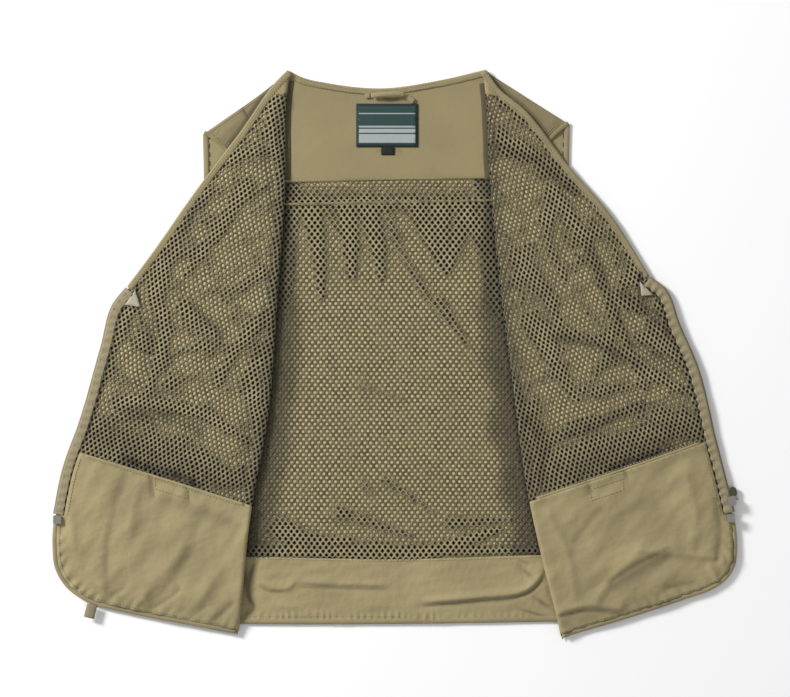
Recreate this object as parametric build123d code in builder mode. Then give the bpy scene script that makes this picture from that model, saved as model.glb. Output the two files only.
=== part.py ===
from build123d import *
import os
from math import hypot

# A fishing vest laid open on its back, lining up, with both fronts folded out to the sides.
# Millimetres. X runs across the vest, Y from hem (-) to neck (+), Z up from the surface it lies on.
# Left and right are those of the row frame: left is -X.

os.makedirs("parts", exist_ok=True)

# ---- layers: each cloth layer takes up its loft, and the stack is built from the floor up
CLOTH = 1.2                 # one layer of cloth
GAP = 0.4                   # clear space between pieces that lie side by side
BACK_SHELL_Z = 0.0
BACK_LINING_Z = BACK_SHELL_Z + CLOTH
SIDE_LINING_Z = 2.9         # front side panels, which stay on the back when the fronts fold out
SIDE_SHELL_Z = SIDE_LINING_Z + CLOTH
FOLD_Z = 6.5                # height of both fold lines, midway between side panel and front
FRONT_SHELL_Z = 2 * FOLD_Z - SIDE_SHELL_Z - CLOTH
FRONT_LINING_Z = FRONT_SHELL_Z + CLOTH
FRONT_TOP_Z = FRONT_LINING_Z + CLOTH

# ---- trim
BINDING = 7.0               # width of the binding on hem, back neck and armholes
NECK_BINDING = 8.0          # width of the binding on the V of each front
SHOULDER_TRIM = 4.0         # the shoulder fold starts this far from the neck point
TEETH_WIDTH = 3.0           # zip coil along the front edge
TEETH_HEIGHT = 2.2
TEETH_Z = 8.2
TAPE_WIDTH = 12.0           # zip tape, from the front edge inwards
SEAM = 3.0                  # width of a pocket's sewn rim

# ---- inside of the back
YOKE_SEAM_Y = 215.5         # lower edge of the plain yoke
YOKE_SEAM_SLOPE = 1.1       # degrees, rising to the right
HEADER_SEAM_Y = 188.5       # second seam, where the doubled mesh ends
HEM_FACING_Y = -253.0       # top edge of the plain band at the hem
NECK_FACING_Y = 319.0       # lower end of the plain corner at the top of each front

NECK_EDGE = [(-132, 352), (-119, 345), (-81, 336), (-19, 330), (55, 340), (112, 353)]
HEM_EDGE = [(266, -331), (206, -332), (5, -335), (-199, -335), (-263, -334)]

# ---- label, hanger loop
LABEL_X = (-49, 28)
LABEL_Y = (257, 311)
LABEL_THICKNESS = 0.8
SIZE_TAB_X = (-18, -1)
SIZE_TAB_Y = (247, 256.6)
LOOP_X = (-31, 12)          # between the loop's two sewn ends
LOOP_Y = 321.0
LOOP_AXIS_Z = 5.6
LOOP_RISE = 8.0
LOOP_WIDTH = 6.0
LOOP_END_WIDTH = 3.0        # the sewn ends are narrower than the loop between them

# ---- pockets
INNER_DEPTH = 5.0           # clear depth inside the lining pockets
OUTER_DEPTH = 4.7           # clear depth inside the outer pockets
POCKET_FOLD_GAP = 6.0       # from the fold line to the lining pocket's side seam
CLOSURE = (32, 16, 0.9)     # hook-and-loop strip at the lining pocket's mouth
FLAP_Z = 0.0                # outer pocket flaps lie under the pockets, on the floor
OUTER_POCKET_Z = 1.5
FLAP_SEAM_Z = 1.8           # lower end of the sewn ridge that a pocket flap hangs from
FLAP_SEAM = 2.0             # thickness of that ridge
FLAP_OVERHANG = 3.0         # how far a flap reaches past its pocket at each side
MOUTH_DROP = 15.0           # from a flap's hinge down to the pocket's mouth

# ---- zip ends, and the slider on the straight lower stretch of the right coil
ZIP_HIGH = (374, -14)
ZIP_LOW = (420, -196)
END_SIZE = (10.0, 10.0)     # pin's or box's moulded end
END_HEIGHT = 1.6
SLIDER_AT = 14.4            # slider's centre above ZIP_LOW, along the coil
SLIDER_LENGTH = 12.0
SLIDER_REACH = 5.0          # reach of its plates to each side of the front edge
PLATE = 1.2
SLIDER_FLOOR_Z = 6.1        # underside of the lower plate
SLIDER_ROOF_Z = 10.8        # underside of the upper plate
POST_X = (0.6, 2.6)         # post that joins the plates, just outside the coil
PULL_PIN_Y = -4.0           # pin that the pull swings on, from the slider's centre
PULL_PIN_Z = 4.3
PULL_PIN_R = 0.7
PULL_BORE_R = 0.8           # bore of the pull's eye, running on the pin
PULL_EYE_R = 1.5
PULL_EYE_X = (1.9, 3.9)
EAR_X = (0.8, 4.2)          # inner side of each ear that holds the pin
EAR_THICKNESS = 0.8
PULL_X = (2.4, 9.4)
PULL_LENGTH = 20.0
PULL_THICKNESS = 1.2
GRIP_LENGTH = 12.0
GRIP_WALL = 0.6

# ---- webbing loop sewn under the left hem
HEM_LOOP_AT = (-376.3, -312.3, 8.6)
HEM_LOOP_DIRECTION = (-0.26, -0.966, 0)
HEM_LOOP_WIDTH = 13.0
HEM_LOOP_LENGTH = 16.0
HEM_LOOP_EYE = 5.0          # clear height of the eye between its two layers

SIDES = {
    "left": {
        "sign": -1,
        "fold": ((-134.5, 345), (-198.5, -348)),
        "neck": [(-134, 352), (-146, 340), (-193, 275), (-238, 216), (-308, 117), (-333, 83.5)],
        "zip": [(-334, 82), (-350, 62), (-365, 10), (-391, -82), (-413, -144)],
        "zip_straight": [(-413, -144), (-424, -198)],
        "zip_foot": "pin",
        "lower": [(-424.2, -200), (-426, -240), (-423, -266), (-409, -290), (-381, -309),
                  (-340, -320), (-280, -332), (-190, -349)],
        "shoulder": [(-136, 344), (-239, 273)],
        "front_armhole": [(-239, 273), (-226, 266), (-212, 252), (-204, 225), (-205, 180),
                          (-222, 125), (-268, 60)],
        "back_armhole": [(-239, 273), (-238, 216), (-240, 150), (-250, 100), (-268, 60)],
        "side_seam": [(-267.8, 46), (-263, -334)],
        "side_hem": [(-263, -334), (-230, -342), (-190, -349)],
        "pocket_mouth": ((-391, -122), (-181, -187)),
        "closure_at": 0.54,
        "chest_pocket": (-345, -275, -85, 15),
        "lower_pocket": (-395, -275, -285, -135),
    },
    "right": {
        "sign": 1,
        "fold": ((110.5, 345), (202.5, -354)),
        "neck": [(112, 353), (126, 332), (160, 303), (215, 233), (265, 175), (315, 97)],
        "zip": [(316, 95), (334, 81), (352, 37), ZIP_HIGH],
        "zip_straight": [ZIP_HIGH, ZIP_LOW],
        "zip_foot": "box",
        "lower": [(420.3, -198), (424, -235), (421, -264), (410, -281), (392, -293), (364, -303),
                  (303, -323.5), (196, -355)],
        "shoulder": [(112, 350), (216, 285)],
        "front_armhole": [(216, 285), (204, 276), (192, 264), (184, 235), (185, 185),
                          (203, 125), (262, 60)],
        "back_armhole": [(216, 285), (215, 233), (219, 165), (235, 105), (262, 60)],
        "side_seam": [(262.3, 46), (266, -331)],
        "side_hem": [(266, -331), (235, -343.5), (196, -354.5)],
        "pocket_mouth": ((385, -109), (169, -182)),
        "closure_at": 0.57,
        "chest_pocket": (272, 340, -85, 15),
        "lower_pocket": (275, 390, -285, -135),
    },
}


# ---- helpers
def shifted(points, distance, onward=None):
    """An open line of points moved sideways by distance, to the right of its direction.

    Its last point moves square to the line towards onward, where a straight edge carries on.
    """
    moved = []
    for i, (x, y) in enumerate(points):
        x0, y0 = points[max(i - 1, 0)]
        x1, y1 = points[min(i + 1, len(points) - 1)]
        if onward and i == len(points) - 1:
            x0, y0 = x, y
            x1, y1 = onward
        length = hypot(x1 - x0, y1 - y0)
        moved.append((x + distance * (y1 - y0) / length, y - distance * (x1 - x0) / length))
    return moved


def trimmed(points, from_start, from_end):
    """A two-point line cut short at both ends."""
    (x0, y0), (x1, y1) = points
    length = hypot(x1 - x0, y1 - y0)
    first = from_start / length
    last = 1 - from_end / length
    return [(x0 + part * (x1 - x0), y0 + part * (y1 - y0)) for part in (first, last)]


def draw(edges):
    """Closed outline from edges in order, joined end to end by short straight lines."""
    for i, edge in enumerate(edges):
        if len(edge) == 2:
            Line(*edge)
        else:
            Spline(*edge)
        start = edges[(i + 1) % len(edges)][0]
        if hypot(start[0] - edge[-1][0], start[1] - edge[-1][1]) > 1e-5:
            Line(edge[-1], start)


def finish(piece, label):
    """Name a finished piece and write it out."""
    piece.part.label = label
    export_step(piece.part, f"parts/{label}.step")


def cloth(z, thickness, edges, cuts=()):
    """A flat layer inside the edges, trimmed to the kept side of each cutting plane."""
    with BuildPart() as layer:
        with BuildSketch(Plane.XY.offset(z)):
            with BuildLine():
                draw(edges)
            make_face()
        extrude(amount=thickness)
        for cut in cuts:
            split(bisect_by=cut, keep=Keep.TOP)
    return layer


def strip(edge, inner, outer, sign):
    """Outline of a band along an edge, between two distances inwards from it."""
    return [shifted(edge, sign * inner), shifted(edge, sign * outer)[::-1]]


def zip_line(side, distance):
    """A front's zip edge set in by a distance: a curve above and straight below."""
    straight = side["zip_straight"]
    curve = shifted(side["zip"], side["sign"] * distance, straight[1])
    return [curve, shifted(straight, side["sign"] * distance)]


def zip_strip(side, inner, outer):
    """Outline of a band along a front's zip edge."""
    curve, straight = zip_line(side, outer)
    return zip_line(side, inner) + [straight[::-1], curve[::-1]]


def wall_plane(start, end, distance, sign):
    """Upright plane along a line, moved sideways; it keeps what lies further sideways."""
    (x0, y0), (x1, y1) = start, end
    length = hypot(x1 - x0, y1 - y0)
    side = Vector(-sign * (y1 - y0) / length, sign * (x1 - x0) / length, 0)
    return Plane(origin=Vector(x0, y0, 0) + side * distance, z_dir=side)


def level_plane(y, slope, keep_above):
    """Upright plane across the vest at height y on its centre line."""
    normal = Vector(0, 1, 0).rotate(Axis.Z, slope)
    return Plane(origin=(0, y, 0), z_dir=normal if keep_above else -normal)


def back_edges(neck, armhole, hem):
    """The back's outline clockwise from the left neck point, each edge set in by its amount."""
    left = SIDES["left"]
    right = SIDES["right"]
    return [
        shifted(NECK_EDGE, neck),
        trimmed(right["shoulder"], SHOULDER_TRIM, armhole + 2),
        shifted(right["back_armhole"], armhole),
        right["side_seam"],
        shifted(HEM_EDGE, hem),
        left["side_seam"][::-1],
        shifted(left["back_armhole"][::-1], armhole),
        trimmed(left["shoulder"], SHOULDER_TRIM, armhole + 2)[::-1],
    ]


def front_edges(side, neck, zip_side, lower):
    """A front's outline from the neck down to the hem, each edge set in by its amount."""
    sign = side["sign"]
    return [
        shifted(side["neck"], sign * neck),
        *zip_line(side, zip_side),
        shifted(side["lower"], sign * lower),
    ]


# ---- back
inset = BINDING + GAP
yoke_top = level_plane(YOKE_SEAM_Y, YOKE_SEAM_SLOPE, True)
header_top = level_plane(YOKE_SEAM_Y - GAP, YOKE_SEAM_SLOPE, False)
header_bottom = level_plane(HEADER_SEAM_Y, YOKE_SEAM_SLOPE, True)
mesh_top = level_plane(HEADER_SEAM_Y - GAP, YOKE_SEAM_SLOPE, False)
mesh_bottom = level_plane(HEM_FACING_Y, 0, True)
facing_top = level_plane(HEM_FACING_Y - GAP, 0, False)
back_outline = back_edges(inset, inset, inset)

back_shell = cloth(BACK_SHELL_Z, CLOTH, back_outline)
finish(back_shell, "back_shell")

back_yoke_lining = cloth(BACK_LINING_Z, CLOTH, back_outline, [yoke_top])
finish(back_yoke_lining, "back_yoke_lining")

back_mesh_header = cloth(BACK_LINING_Z, CLOTH, back_outline, [header_top, header_bottom])
finish(back_mesh_header, "back_mesh_header")

back_mesh_lining = cloth(BACK_LINING_Z, CLOTH, back_outline, [mesh_top, mesh_bottom])
finish(back_mesh_lining, "back_mesh_lining")

back_hem_facing = cloth(BACK_LINING_Z, CLOTH, back_outline, [facing_top])
finish(back_hem_facing, "back_hem_facing")

back_neck_binding = cloth(BACK_SHELL_Z, 2 * CLOTH, strip(NECK_EDGE, 0, BINDING, 1))
finish(back_neck_binding, "back_neck_binding")

back_hem_binding = cloth(BACK_SHELL_Z, 2 * CLOTH, strip(HEM_EDGE, 0, BINDING, 1))
finish(back_hem_binding, "back_hem_binding")

# ---- woven label and the small tab under it, sewn on the yoke
yoke_face_z = BACK_LINING_Z + CLOTH
with BuildPart() as neck_label:
    with BuildSketch(Plane.XY.offset(yoke_face_z)):
        with Locations((sum(LABEL_X) / 2, sum(LABEL_Y) / 2)):
            Rectangle(LABEL_X[1] - LABEL_X[0], LABEL_Y[1] - LABEL_Y[0])
    extrude(amount=LABEL_THICKNESS)
finish(neck_label, "neck_label")

with BuildPart() as size_tab:
    with BuildSketch(Plane.XY.offset(yoke_face_z)):
        with Locations((sum(SIZE_TAB_X) / 2, sum(SIZE_TAB_Y) / 2)):
            Rectangle(SIZE_TAB_X[1] - SIZE_TAB_X[0], SIZE_TAB_Y[1] - SIZE_TAB_Y[0])
    extrude(amount=LABEL_THICKNESS)
finish(size_tab, "size_tab")

# ---- hanger loop: a tape arched over the yoke, swinging about the line through its sewn ends
loop_middle_x = sum(LOOP_X) / 2
loop_span = LOOP_X[1] - LOOP_X[0]
with BuildPart() as hanger_loop_ends:
    with BuildSketch(Plane.XY.offset(yoke_face_z)):
        for end_x in (LOOP_X[0] - GAP - LOOP_WIDTH / 2, LOOP_X[1] + GAP + LOOP_WIDTH / 2):
            with Locations((end_x, LOOP_Y)):
                Rectangle(LOOP_WIDTH, LOOP_END_WIDTH)
    extrude(amount=LOOP_AXIS_Z - CLOTH - yoke_face_z)
finish(hanger_loop_ends, "hanger_loop_ends")

with BuildPart() as hanger_loop:
    with BuildSketch(Plane.XZ.offset(-LOOP_Y)):
        with BuildLine():
            ThreePointArc(
                (LOOP_X[0], LOOP_AXIS_Z),
                (loop_middle_x, LOOP_AXIS_Z + LOOP_RISE),
                (LOOP_X[1], LOOP_AXIS_Z),
            )
            Line((LOOP_X[1], LOOP_AXIS_Z), (LOOP_X[1] - 2 * CLOTH, LOOP_AXIS_Z - CLOTH / 2))
            ThreePointArc(
                (LOOP_X[1] - 2 * CLOTH, LOOP_AXIS_Z - CLOTH / 2),
                (loop_middle_x, LOOP_AXIS_Z + LOOP_RISE - CLOTH),
                (LOOP_X[0] + 2 * CLOTH, LOOP_AXIS_Z - CLOTH / 2),
            )
            Line((LOOP_X[0] + 2 * CLOTH, LOOP_AXIS_Z - CLOTH / 2), (LOOP_X[0], LOOP_AXIS_Z))
        make_face()
    extrude(amount=LOOP_WIDTH / 2, both=True)
    loop_length = loop_span + 2
    with BuildSketch(Plane.XY.offset(LOOP_AXIS_Z - CLOTH)):
        with Locations((loop_middle_x, LOOP_Y)):
            Trapezoid(loop_length, LOOP_WIDTH / 2, 60, align=(Align.CENTER, Align.MIN))
            Trapezoid(loop_length, LOOP_WIDTH / 2, 60, rotation=180, align=(Align.CENTER, Align.MIN))
    extrude(amount=LOOP_RISE + 2 * CLOTH, mode=Mode.INTERSECT)
finish(hanger_loop, "hanger_loop")


# ---- armhole bindings: one band round each armhole, joined at the shoulder tip and underarm
def band_end(edge, sign, index):
    """Middle of the armhole band at one of its ends."""
    outer = edge[index]
    inner = shifted(edge, sign * BINDING)[index]
    return ((outer[0] + inner[0]) / 2, (outer[1] + inner[1]) / 2)


for name, side in SIDES.items():
    sign = side["sign"]
    back_band = cloth(BACK_SHELL_Z, 2 * CLOTH, strip(side["back_armhole"], 0, BINDING, sign))
    front_band = cloth(SIDE_LINING_Z, 2 * CLOTH, strip(side["front_armhole"], 0, BINDING, sign))
    with BuildPart() as armhole_binding:
        add(back_band.part)
        add(front_band.part)
        for index in (0, -1):
            with BuildSketch(Plane.XY):
                with Locations(band_end(side["back_armhole"], sign, index),
                               band_end(side["front_armhole"], sign, index)):
                    Circle(BINDING / 2 - GAP)
            extrude(amount=SIDE_SHELL_Z + CLOTH)
    finish(armhole_binding, f"{name}_armhole_binding")

# ---- side panels: the part of each front that stays on the back, outer face up
for name, side in SIDES.items():
    sign = side["sign"]
    fold_cut = wall_plane(*side["fold"], GAP / 2, sign)
    side_outline = [
        trimmed(side["shoulder"], SHOULDER_TRIM, inset + 2),
        shifted(side["front_armhole"], sign * inset),
        side["side_seam"],
        side["side_hem"],
    ]
    side_lining = cloth(SIDE_LINING_Z, CLOTH, side_outline, [fold_cut])
    finish(side_lining, f"{name}_side_lining")
    side_shell = cloth(SIDE_SHELL_Z, CLOTH, side_outline, [fold_cut])
    finish(side_shell, f"{name}_side_shell")


# ---- fronts
def outer_pocket(box):
    """A flat bellows pocket under the front, open at its upper end."""
    x0, x1, y0, y1 = box
    middle = ((x0 + x1) / 2, (y0 + y1) / 2)
    with BuildPart() as pocket:
        with BuildSketch(Plane.XY.offset(OUTER_POCKET_Z)):
            with Locations(middle):
                Rectangle(x1 - x0, y1 - y0)
        extrude(amount=FRONT_SHELL_Z - OUTER_POCKET_Z)
        fillet(pocket.edges().filter_by(Axis.Z).group_by(Axis.Y)[0], SEAM + 2)
        with BuildSketch(Plane.XY.offset(FRONT_SHELL_Z - OUTER_DEPTH)):
            with Locations((middle[0], middle[1] + SEAM)):
                Rectangle(x1 - x0 - 2 * SEAM, y1 - y0)
        extrude(amount=OUTER_DEPTH, mode=Mode.SUBTRACT)
    return pocket


def pocket_flap(box, height):
    """The flap over an outer pocket's mouth, hinged along its upper edge."""
    x0, x1, y0, y1 = box
    hinge_y = y1 + MOUTH_DROP
    with BuildPart() as flap:
        with BuildSketch(Plane.XY.offset(FLAP_Z)):
            with Locations(((x0 + x1) / 2, hinge_y - height / 2)):
                Rectangle(x1 - x0 + 2 * FLAP_OVERHANG, height)
        extrude(amount=CLOTH)
        fillet(flap.edges().filter_by(Axis.Z).group_by(Axis.Y)[0], height / 4)
    return flap


CHEST_FLAP_HEIGHT = 48.0
LOWER_FLAP_HEIGHT = 58.0

for name, side in SIDES.items():
    sign = side["sign"]
    fold_cut = wall_plane(*side["fold"], GAP / 2, sign)
    neck_inset = NECK_BINDING + GAP
    zip_inset = TEETH_WIDTH + GAP
    tape_inset = TAPE_WIDTH + GAP

    # outer shell, with a sewn ridge above each outer pocket for its flap to hang from
    shell = cloth(FRONT_SHELL_Z, CLOTH, front_edges(side, neck_inset, zip_inset, inset), [fold_cut])
    with BuildPart() as front_shell:
        add(shell.part)
        for box in (side["chest_pocket"], side["lower_pocket"]):
            x0, x1, y0, y1 = box
            with BuildSketch(Plane.XY.offset(FLAP_SEAM_Z)):
                with Locations(((x0 + x1) / 2, y1 + MOUTH_DROP + GAP + FLAP_SEAM / 2)):
                    Rectangle(x1 - x0 + 2 * FLAP_OVERHANG, FLAP_SEAM)
            extrude(amount=FRONT_SHELL_Z - FLAP_SEAM_Z)
    finish(front_shell, f"{name}_front_shell")

    lining_outline = front_edges(side, neck_inset, tape_inset, inset)
    facing_cut = level_plane(NECK_FACING_Y + GAP, 0, True)
    neck_facing = cloth(FRONT_LINING_Z, CLOTH, lining_outline, [fold_cut, facing_cut])
    finish(neck_facing, f"{name}_neck_facing")

    lining_cut = level_plane(NECK_FACING_Y, 0, False)
    front_lining = cloth(FRONT_LINING_Z, CLOTH, lining_outline, [fold_cut, lining_cut])
    finish(front_lining, f"{name}_front_lining")

    neck_binding = cloth(FRONT_SHELL_Z, 2 * CLOTH, strip(side["neck"], 0, NECK_BINDING, sign), [fold_cut])
    finish(neck_binding, f"{name}_neck_binding")

    hem_binding = cloth(FRONT_SHELL_Z, 2 * CLOTH, strip(side["lower"], 0, BINDING, sign), [fold_cut])
    finish(hem_binding, f"{name}_hem_binding")

    # zip: tape, coil, the folded tape end at the top, and the pin or box at the bottom
    tape_outline = zip_strip(side, TEETH_WIDTH, TAPE_WIDTH)
    zip_tape = cloth(FRONT_LINING_Z, CLOTH, tape_outline)
    finish(zip_tape, f"{name}_zip_tape")

    coil_outline = zip_strip(side, 0, TEETH_WIDTH)
    zip_teeth = cloth(TEETH_Z, TEETH_HEIGHT, coil_outline)
    finish(zip_teeth, f"{name}_zip_teeth")

    top_x, top_y = shifted(side["zip"], sign * (TAPE_WIDTH + GAP))[0]
    with BuildPart() as tape_end:
        with BuildSketch(Plane.XY.offset(FRONT_TOP_Z)):
            Polygon((top_x, top_y - 6), (top_x - sign * 14, top_y - 6), (top_x - sign * 2, top_y - 22),
                    align=None)
        extrude(amount=CLOTH)
    finish(tape_end, f"{name}_zip_tape_end")

    foot_x, foot_y = shifted(side["lower"], sign * END_SIZE[0] / 2)[0]
    with BuildPart() as zip_foot:
        with BuildSketch(Plane.XY.offset(FRONT_TOP_Z + GAP / 2)):
            with Locations((foot_x, foot_y - END_SIZE[1] / 2)):
                RectangleRounded(*END_SIZE, 1)
        extrude(amount=END_HEIGHT)
    finish(zip_foot, f"{name}_zip_{side['zip_foot']}")

    # pocket on the lining: a cloth panel standing clear of the lining, sewn down along its rim
    mouth_cut = wall_plane(*side["pocket_mouth"], 0, sign)
    hem_inset = END_SIZE[0] + 2 * GAP
    pocket_outline = front_edges(side, neck_inset, tape_inset, hem_inset)
    rim_outline = front_edges(side, neck_inset + SEAM, tape_inset + SEAM, hem_inset + SEAM)
    pocket_height = INNER_DEPTH + CLOTH
    rim_cut = wall_plane(*side["fold"], POCKET_FOLD_GAP, sign)
    room_cut = wall_plane(*side["fold"], POCKET_FOLD_GAP + SEAM, sign)
    pocket_block = cloth(FRONT_TOP_Z, pocket_height, pocket_outline, [rim_cut])
    pocket_room = cloth(FRONT_TOP_Z, INNER_DEPTH, rim_outline, [room_cut])
    with BuildPart() as inner_pocket:
        add(pocket_block.part)
        add(pocket_room.part, mode=Mode.SUBTRACT)
        split(bisect_by=mouth_cut, keep=Keep.TOP)
    finish(inner_pocket, f"{name}_inner_pocket")

    # hook-and-loop strip inside the pocket's mouth
    (mx0, my0), (mx1, my1) = side["pocket_mouth"]
    mouth = Vector(mx1 - mx0, my1 - my0, 0)
    down = Vector(mouth.Y, -mouth.X, 0).normalized() * -sign
    centre = Vector(mx0, my0, 0) + mouth * side["closure_at"] + down * (CLOSURE[1] / 2 + 3)
    closure_z = FRONT_TOP_Z + INNER_DEPTH - CLOSURE[2]
    with BuildPart() as closure:
        with BuildSketch(Plane(origin=centre + Vector(0, 0, closure_z), x_dir=mouth, z_dir=(0, 0, 1))):
            Rectangle(CLOSURE[0], CLOSURE[1])
        extrude(amount=CLOSURE[2])
    finish(closure, f"{name}_pocket_closure")

    # outer pockets and their flaps
    for pocket_name, flap_height in (("chest", CHEST_FLAP_HEIGHT), ("lower", LOWER_FLAP_HEIGHT)):
        box = side[f"{pocket_name}_pocket"]
        pocket = outer_pocket(box)
        finish(pocket, f"{name}_{pocket_name}_pocket")
        flap = pocket_flap(box, flap_height)
        finish(flap, f"{name}_{pocket_name}_pocket_flap")

# ---- webbing loop under the left hem: a band folded round an open eye
loop_direction = Vector(*HEM_LOOP_DIRECTION)
loop_plane = Plane(origin=HEM_LOOP_AT, x_dir=loop_direction, z_dir=loop_direction.cross(Vector(0, 0, 1)))
with BuildPart() as hem_loop:
    with BuildSketch(loop_plane):
        with Locations((HEM_LOOP_LENGTH / 2, 0)):
            SlotOverall(HEM_LOOP_LENGTH, HEM_LOOP_EYE + 2 * CLOTH)
            SlotOverall(HEM_LOOP_LENGTH - 2 * CLOTH, HEM_LOOP_EYE, mode=Mode.SUBTRACT)
    extrude(amount=HEM_LOOP_WIDTH / 2, both=True)
finish(hem_loop, "left_hem_loop")

# ---- slider: its frame has x outwards across the coil and y up along it
(high_x, high_y), (low_x, low_y) = ZIP_HIGH, ZIP_LOW
along = Vector(high_x - low_x, high_y - low_y, 0).normalized()
outwards = along.cross(Vector(0, 0, 1))
slider_centre = Vector(low_x, low_y, 0) + along * SLIDER_AT
slider_plane = Plane(origin=slider_centre, x_dir=outwards, z_dir=(0, 0, 1))
pin_length = EAR_X[1] - EAR_X[0] + 2 * EAR_THICKNESS
pin_plane = Plane(
    origin=slider_plane.from_local_coords((EAR_X[0] - EAR_THICKNESS, PULL_PIN_Y, PULL_PIN_Z)),
    x_dir=along,
    z_dir=outwards,
)
with BuildPart() as zip_slider:
    for plate_z in (SLIDER_FLOOR_Z, SLIDER_ROOF_Z):
        with BuildSketch(slider_plane.offset(plate_z)):
            RectangleRounded(2 * SLIDER_REACH, SLIDER_LENGTH, 2)
        extrude(amount=PLATE)
    with BuildSketch(slider_plane.offset(SLIDER_FLOOR_Z)):
        with Locations((sum(POST_X) / 2, SLIDER_LENGTH / 4)):
            Rectangle(POST_X[1] - POST_X[0], SLIDER_LENGTH / 3)
    extrude(amount=SLIDER_ROOF_Z - SLIDER_FLOOR_Z)
    with BuildSketch(slider_plane.offset(PULL_PIN_Z - PULL_PIN_R)):
        for ear_x in (EAR_X[0] - EAR_THICKNESS / 2, EAR_X[1] + EAR_THICKNESS / 2):
            with Locations((ear_x, PULL_PIN_Y)):
                Rectangle(EAR_THICKNESS, 4 * PULL_PIN_R)
    extrude(amount=SLIDER_FLOOR_Z - PULL_PIN_Z + PULL_PIN_R)
    with BuildSketch(pin_plane):
        Circle(PULL_PIN_R)
    extrude(amount=pin_length)
finish(zip_slider, "zip_slider")

# ---- pull: a metal tab with an eye on the slider's pin, and a moulded grip on its end
eye_plane = pin_plane.offset(PULL_EYE_X[0] - EAR_X[0] + EAR_THICKNESS)
tab_start = PULL_PIN_Y + PULL_EYE_R + 1
tab_end = PULL_PIN_Y + PULL_LENGTH
grip_start = tab_end - GRIP_LENGTH
pull_middle_x = sum(PULL_X) / 2
with BuildPart() as zip_pull:
    with BuildSketch(eye_plane):
        Circle(PULL_EYE_R)
    extrude(amount=PULL_EYE_X[1] - PULL_EYE_X[0])
    with BuildSketch(slider_plane.offset(PULL_PIN_Z - PULL_THICKNESS / 2)):
        with Locations((sum(PULL_EYE_X) / 2, PULL_PIN_Y)):
            Rectangle(PULL_EYE_X[1] - PULL_EYE_X[0], PULL_EYE_R + 3, align=(Align.CENTER, Align.MIN))
        with Locations((pull_middle_x, tab_start)):
            Rectangle(PULL_X[1] - PULL_X[0], grip_start - tab_start, align=(Align.CENTER, Align.MIN))
        with Locations((pull_middle_x, grip_start)):
            Rectangle(PULL_X[1] - PULL_X[0] - 3, GRIP_LENGTH - 3, align=(Align.CENTER, Align.MIN))
    extrude(amount=PULL_THICKNESS)
    with BuildSketch(eye_plane.offset(-1)):
        Circle(PULL_BORE_R)
    extrude(amount=PULL_EYE_X[1] - PULL_EYE_X[0] + 2, mode=Mode.SUBTRACT)
finish(zip_pull, "zip_pull")

grip_height = PULL_THICKNESS + 2 * GRIP_WALL
with BuildPart() as zip_pull_grip:
    with BuildSketch(slider_plane.offset(PULL_PIN_Z - grip_height / 2)):
        with Locations((pull_middle_x, (grip_start + tab_end) / 2)):
            SlotOverall(GRIP_LENGTH, PULL_X[1] - PULL_X[0] + 1, rotation=90)
    extrude(amount=grip_height)
    add(zip_pull.part, mode=Mode.SUBTRACT)
finish(zip_pull_grip, "zip_pull_grip")
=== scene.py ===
"""The looks of a fishing vest laid open on its back, lining up: cloth, net, trim and zip."""

import math

import bpy
import numpy as np
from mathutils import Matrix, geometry


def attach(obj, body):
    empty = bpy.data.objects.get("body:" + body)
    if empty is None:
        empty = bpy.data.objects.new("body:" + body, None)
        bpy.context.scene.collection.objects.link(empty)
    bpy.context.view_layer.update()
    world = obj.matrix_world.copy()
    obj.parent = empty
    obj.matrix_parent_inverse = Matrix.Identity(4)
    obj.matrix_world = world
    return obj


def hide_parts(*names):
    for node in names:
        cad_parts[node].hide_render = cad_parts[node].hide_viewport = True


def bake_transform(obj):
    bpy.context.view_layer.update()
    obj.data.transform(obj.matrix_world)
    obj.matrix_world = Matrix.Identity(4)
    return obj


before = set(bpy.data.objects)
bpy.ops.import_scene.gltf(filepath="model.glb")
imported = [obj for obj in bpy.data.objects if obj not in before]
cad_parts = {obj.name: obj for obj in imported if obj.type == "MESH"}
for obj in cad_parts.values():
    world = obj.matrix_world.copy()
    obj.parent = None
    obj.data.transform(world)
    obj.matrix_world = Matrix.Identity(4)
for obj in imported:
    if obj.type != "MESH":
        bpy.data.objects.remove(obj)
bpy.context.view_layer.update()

MM = 0.001  # lengths and places below are in millimetres, in the row frame

# ---- heights above the surface that the vest lies on
BACK_CLOTH_Z = 1.3
NET_LIE = 0.45  # the net's middle above the cloth that it lies on
NET_LIFT = 2.0  # how far it stands clear where it is loose
YOKE_Z = 3.0
HEM_FACING_Z = 2.9
SIDE_Z = 5.0
FLAP_Z = 8.6
EDGE_DROP = 2.6  # how far a front's outer edge sags below its middle
SHELL_ROLL = 2.2  # radius of the outer cloth's roll at the crease
NET_ROLL = 3.4
TUCKED = math.pi * 0.9  # how far round its roll a layer goes, in radians
FOLD_Z = 6.5  # height of the line that a front folds about
FOLD_BAND = (-2, 26)  # ends of a band across the fold line, this far outwards from it

FACING_Y = 321  # lower edge of the plain corner at the top of each front
ARMHOLE_X = 170  # the back lies in the armholes' shade further out than this

# ---- the knit: how far apart its holes are along a row and its rows are, and one hole's outline
BACK_PITCH = (7.3, 4.8)
FRONT_PITCH = (6.1, 5.0)  # the fronts' net is less stretched
HEADER_PITCH = (7.3, 4.2)
HOLE = np.array([(0, 2.15), (1.5, 1.0), (1.5, -1.0), (0, -2.15), (-1.5, -1.0), (-1.5, 1.0)])
YARN_RISE = (0.55, 0.2, -0.4)  # the yarn's height between the holes, at a hole's rim and at its foot

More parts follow.
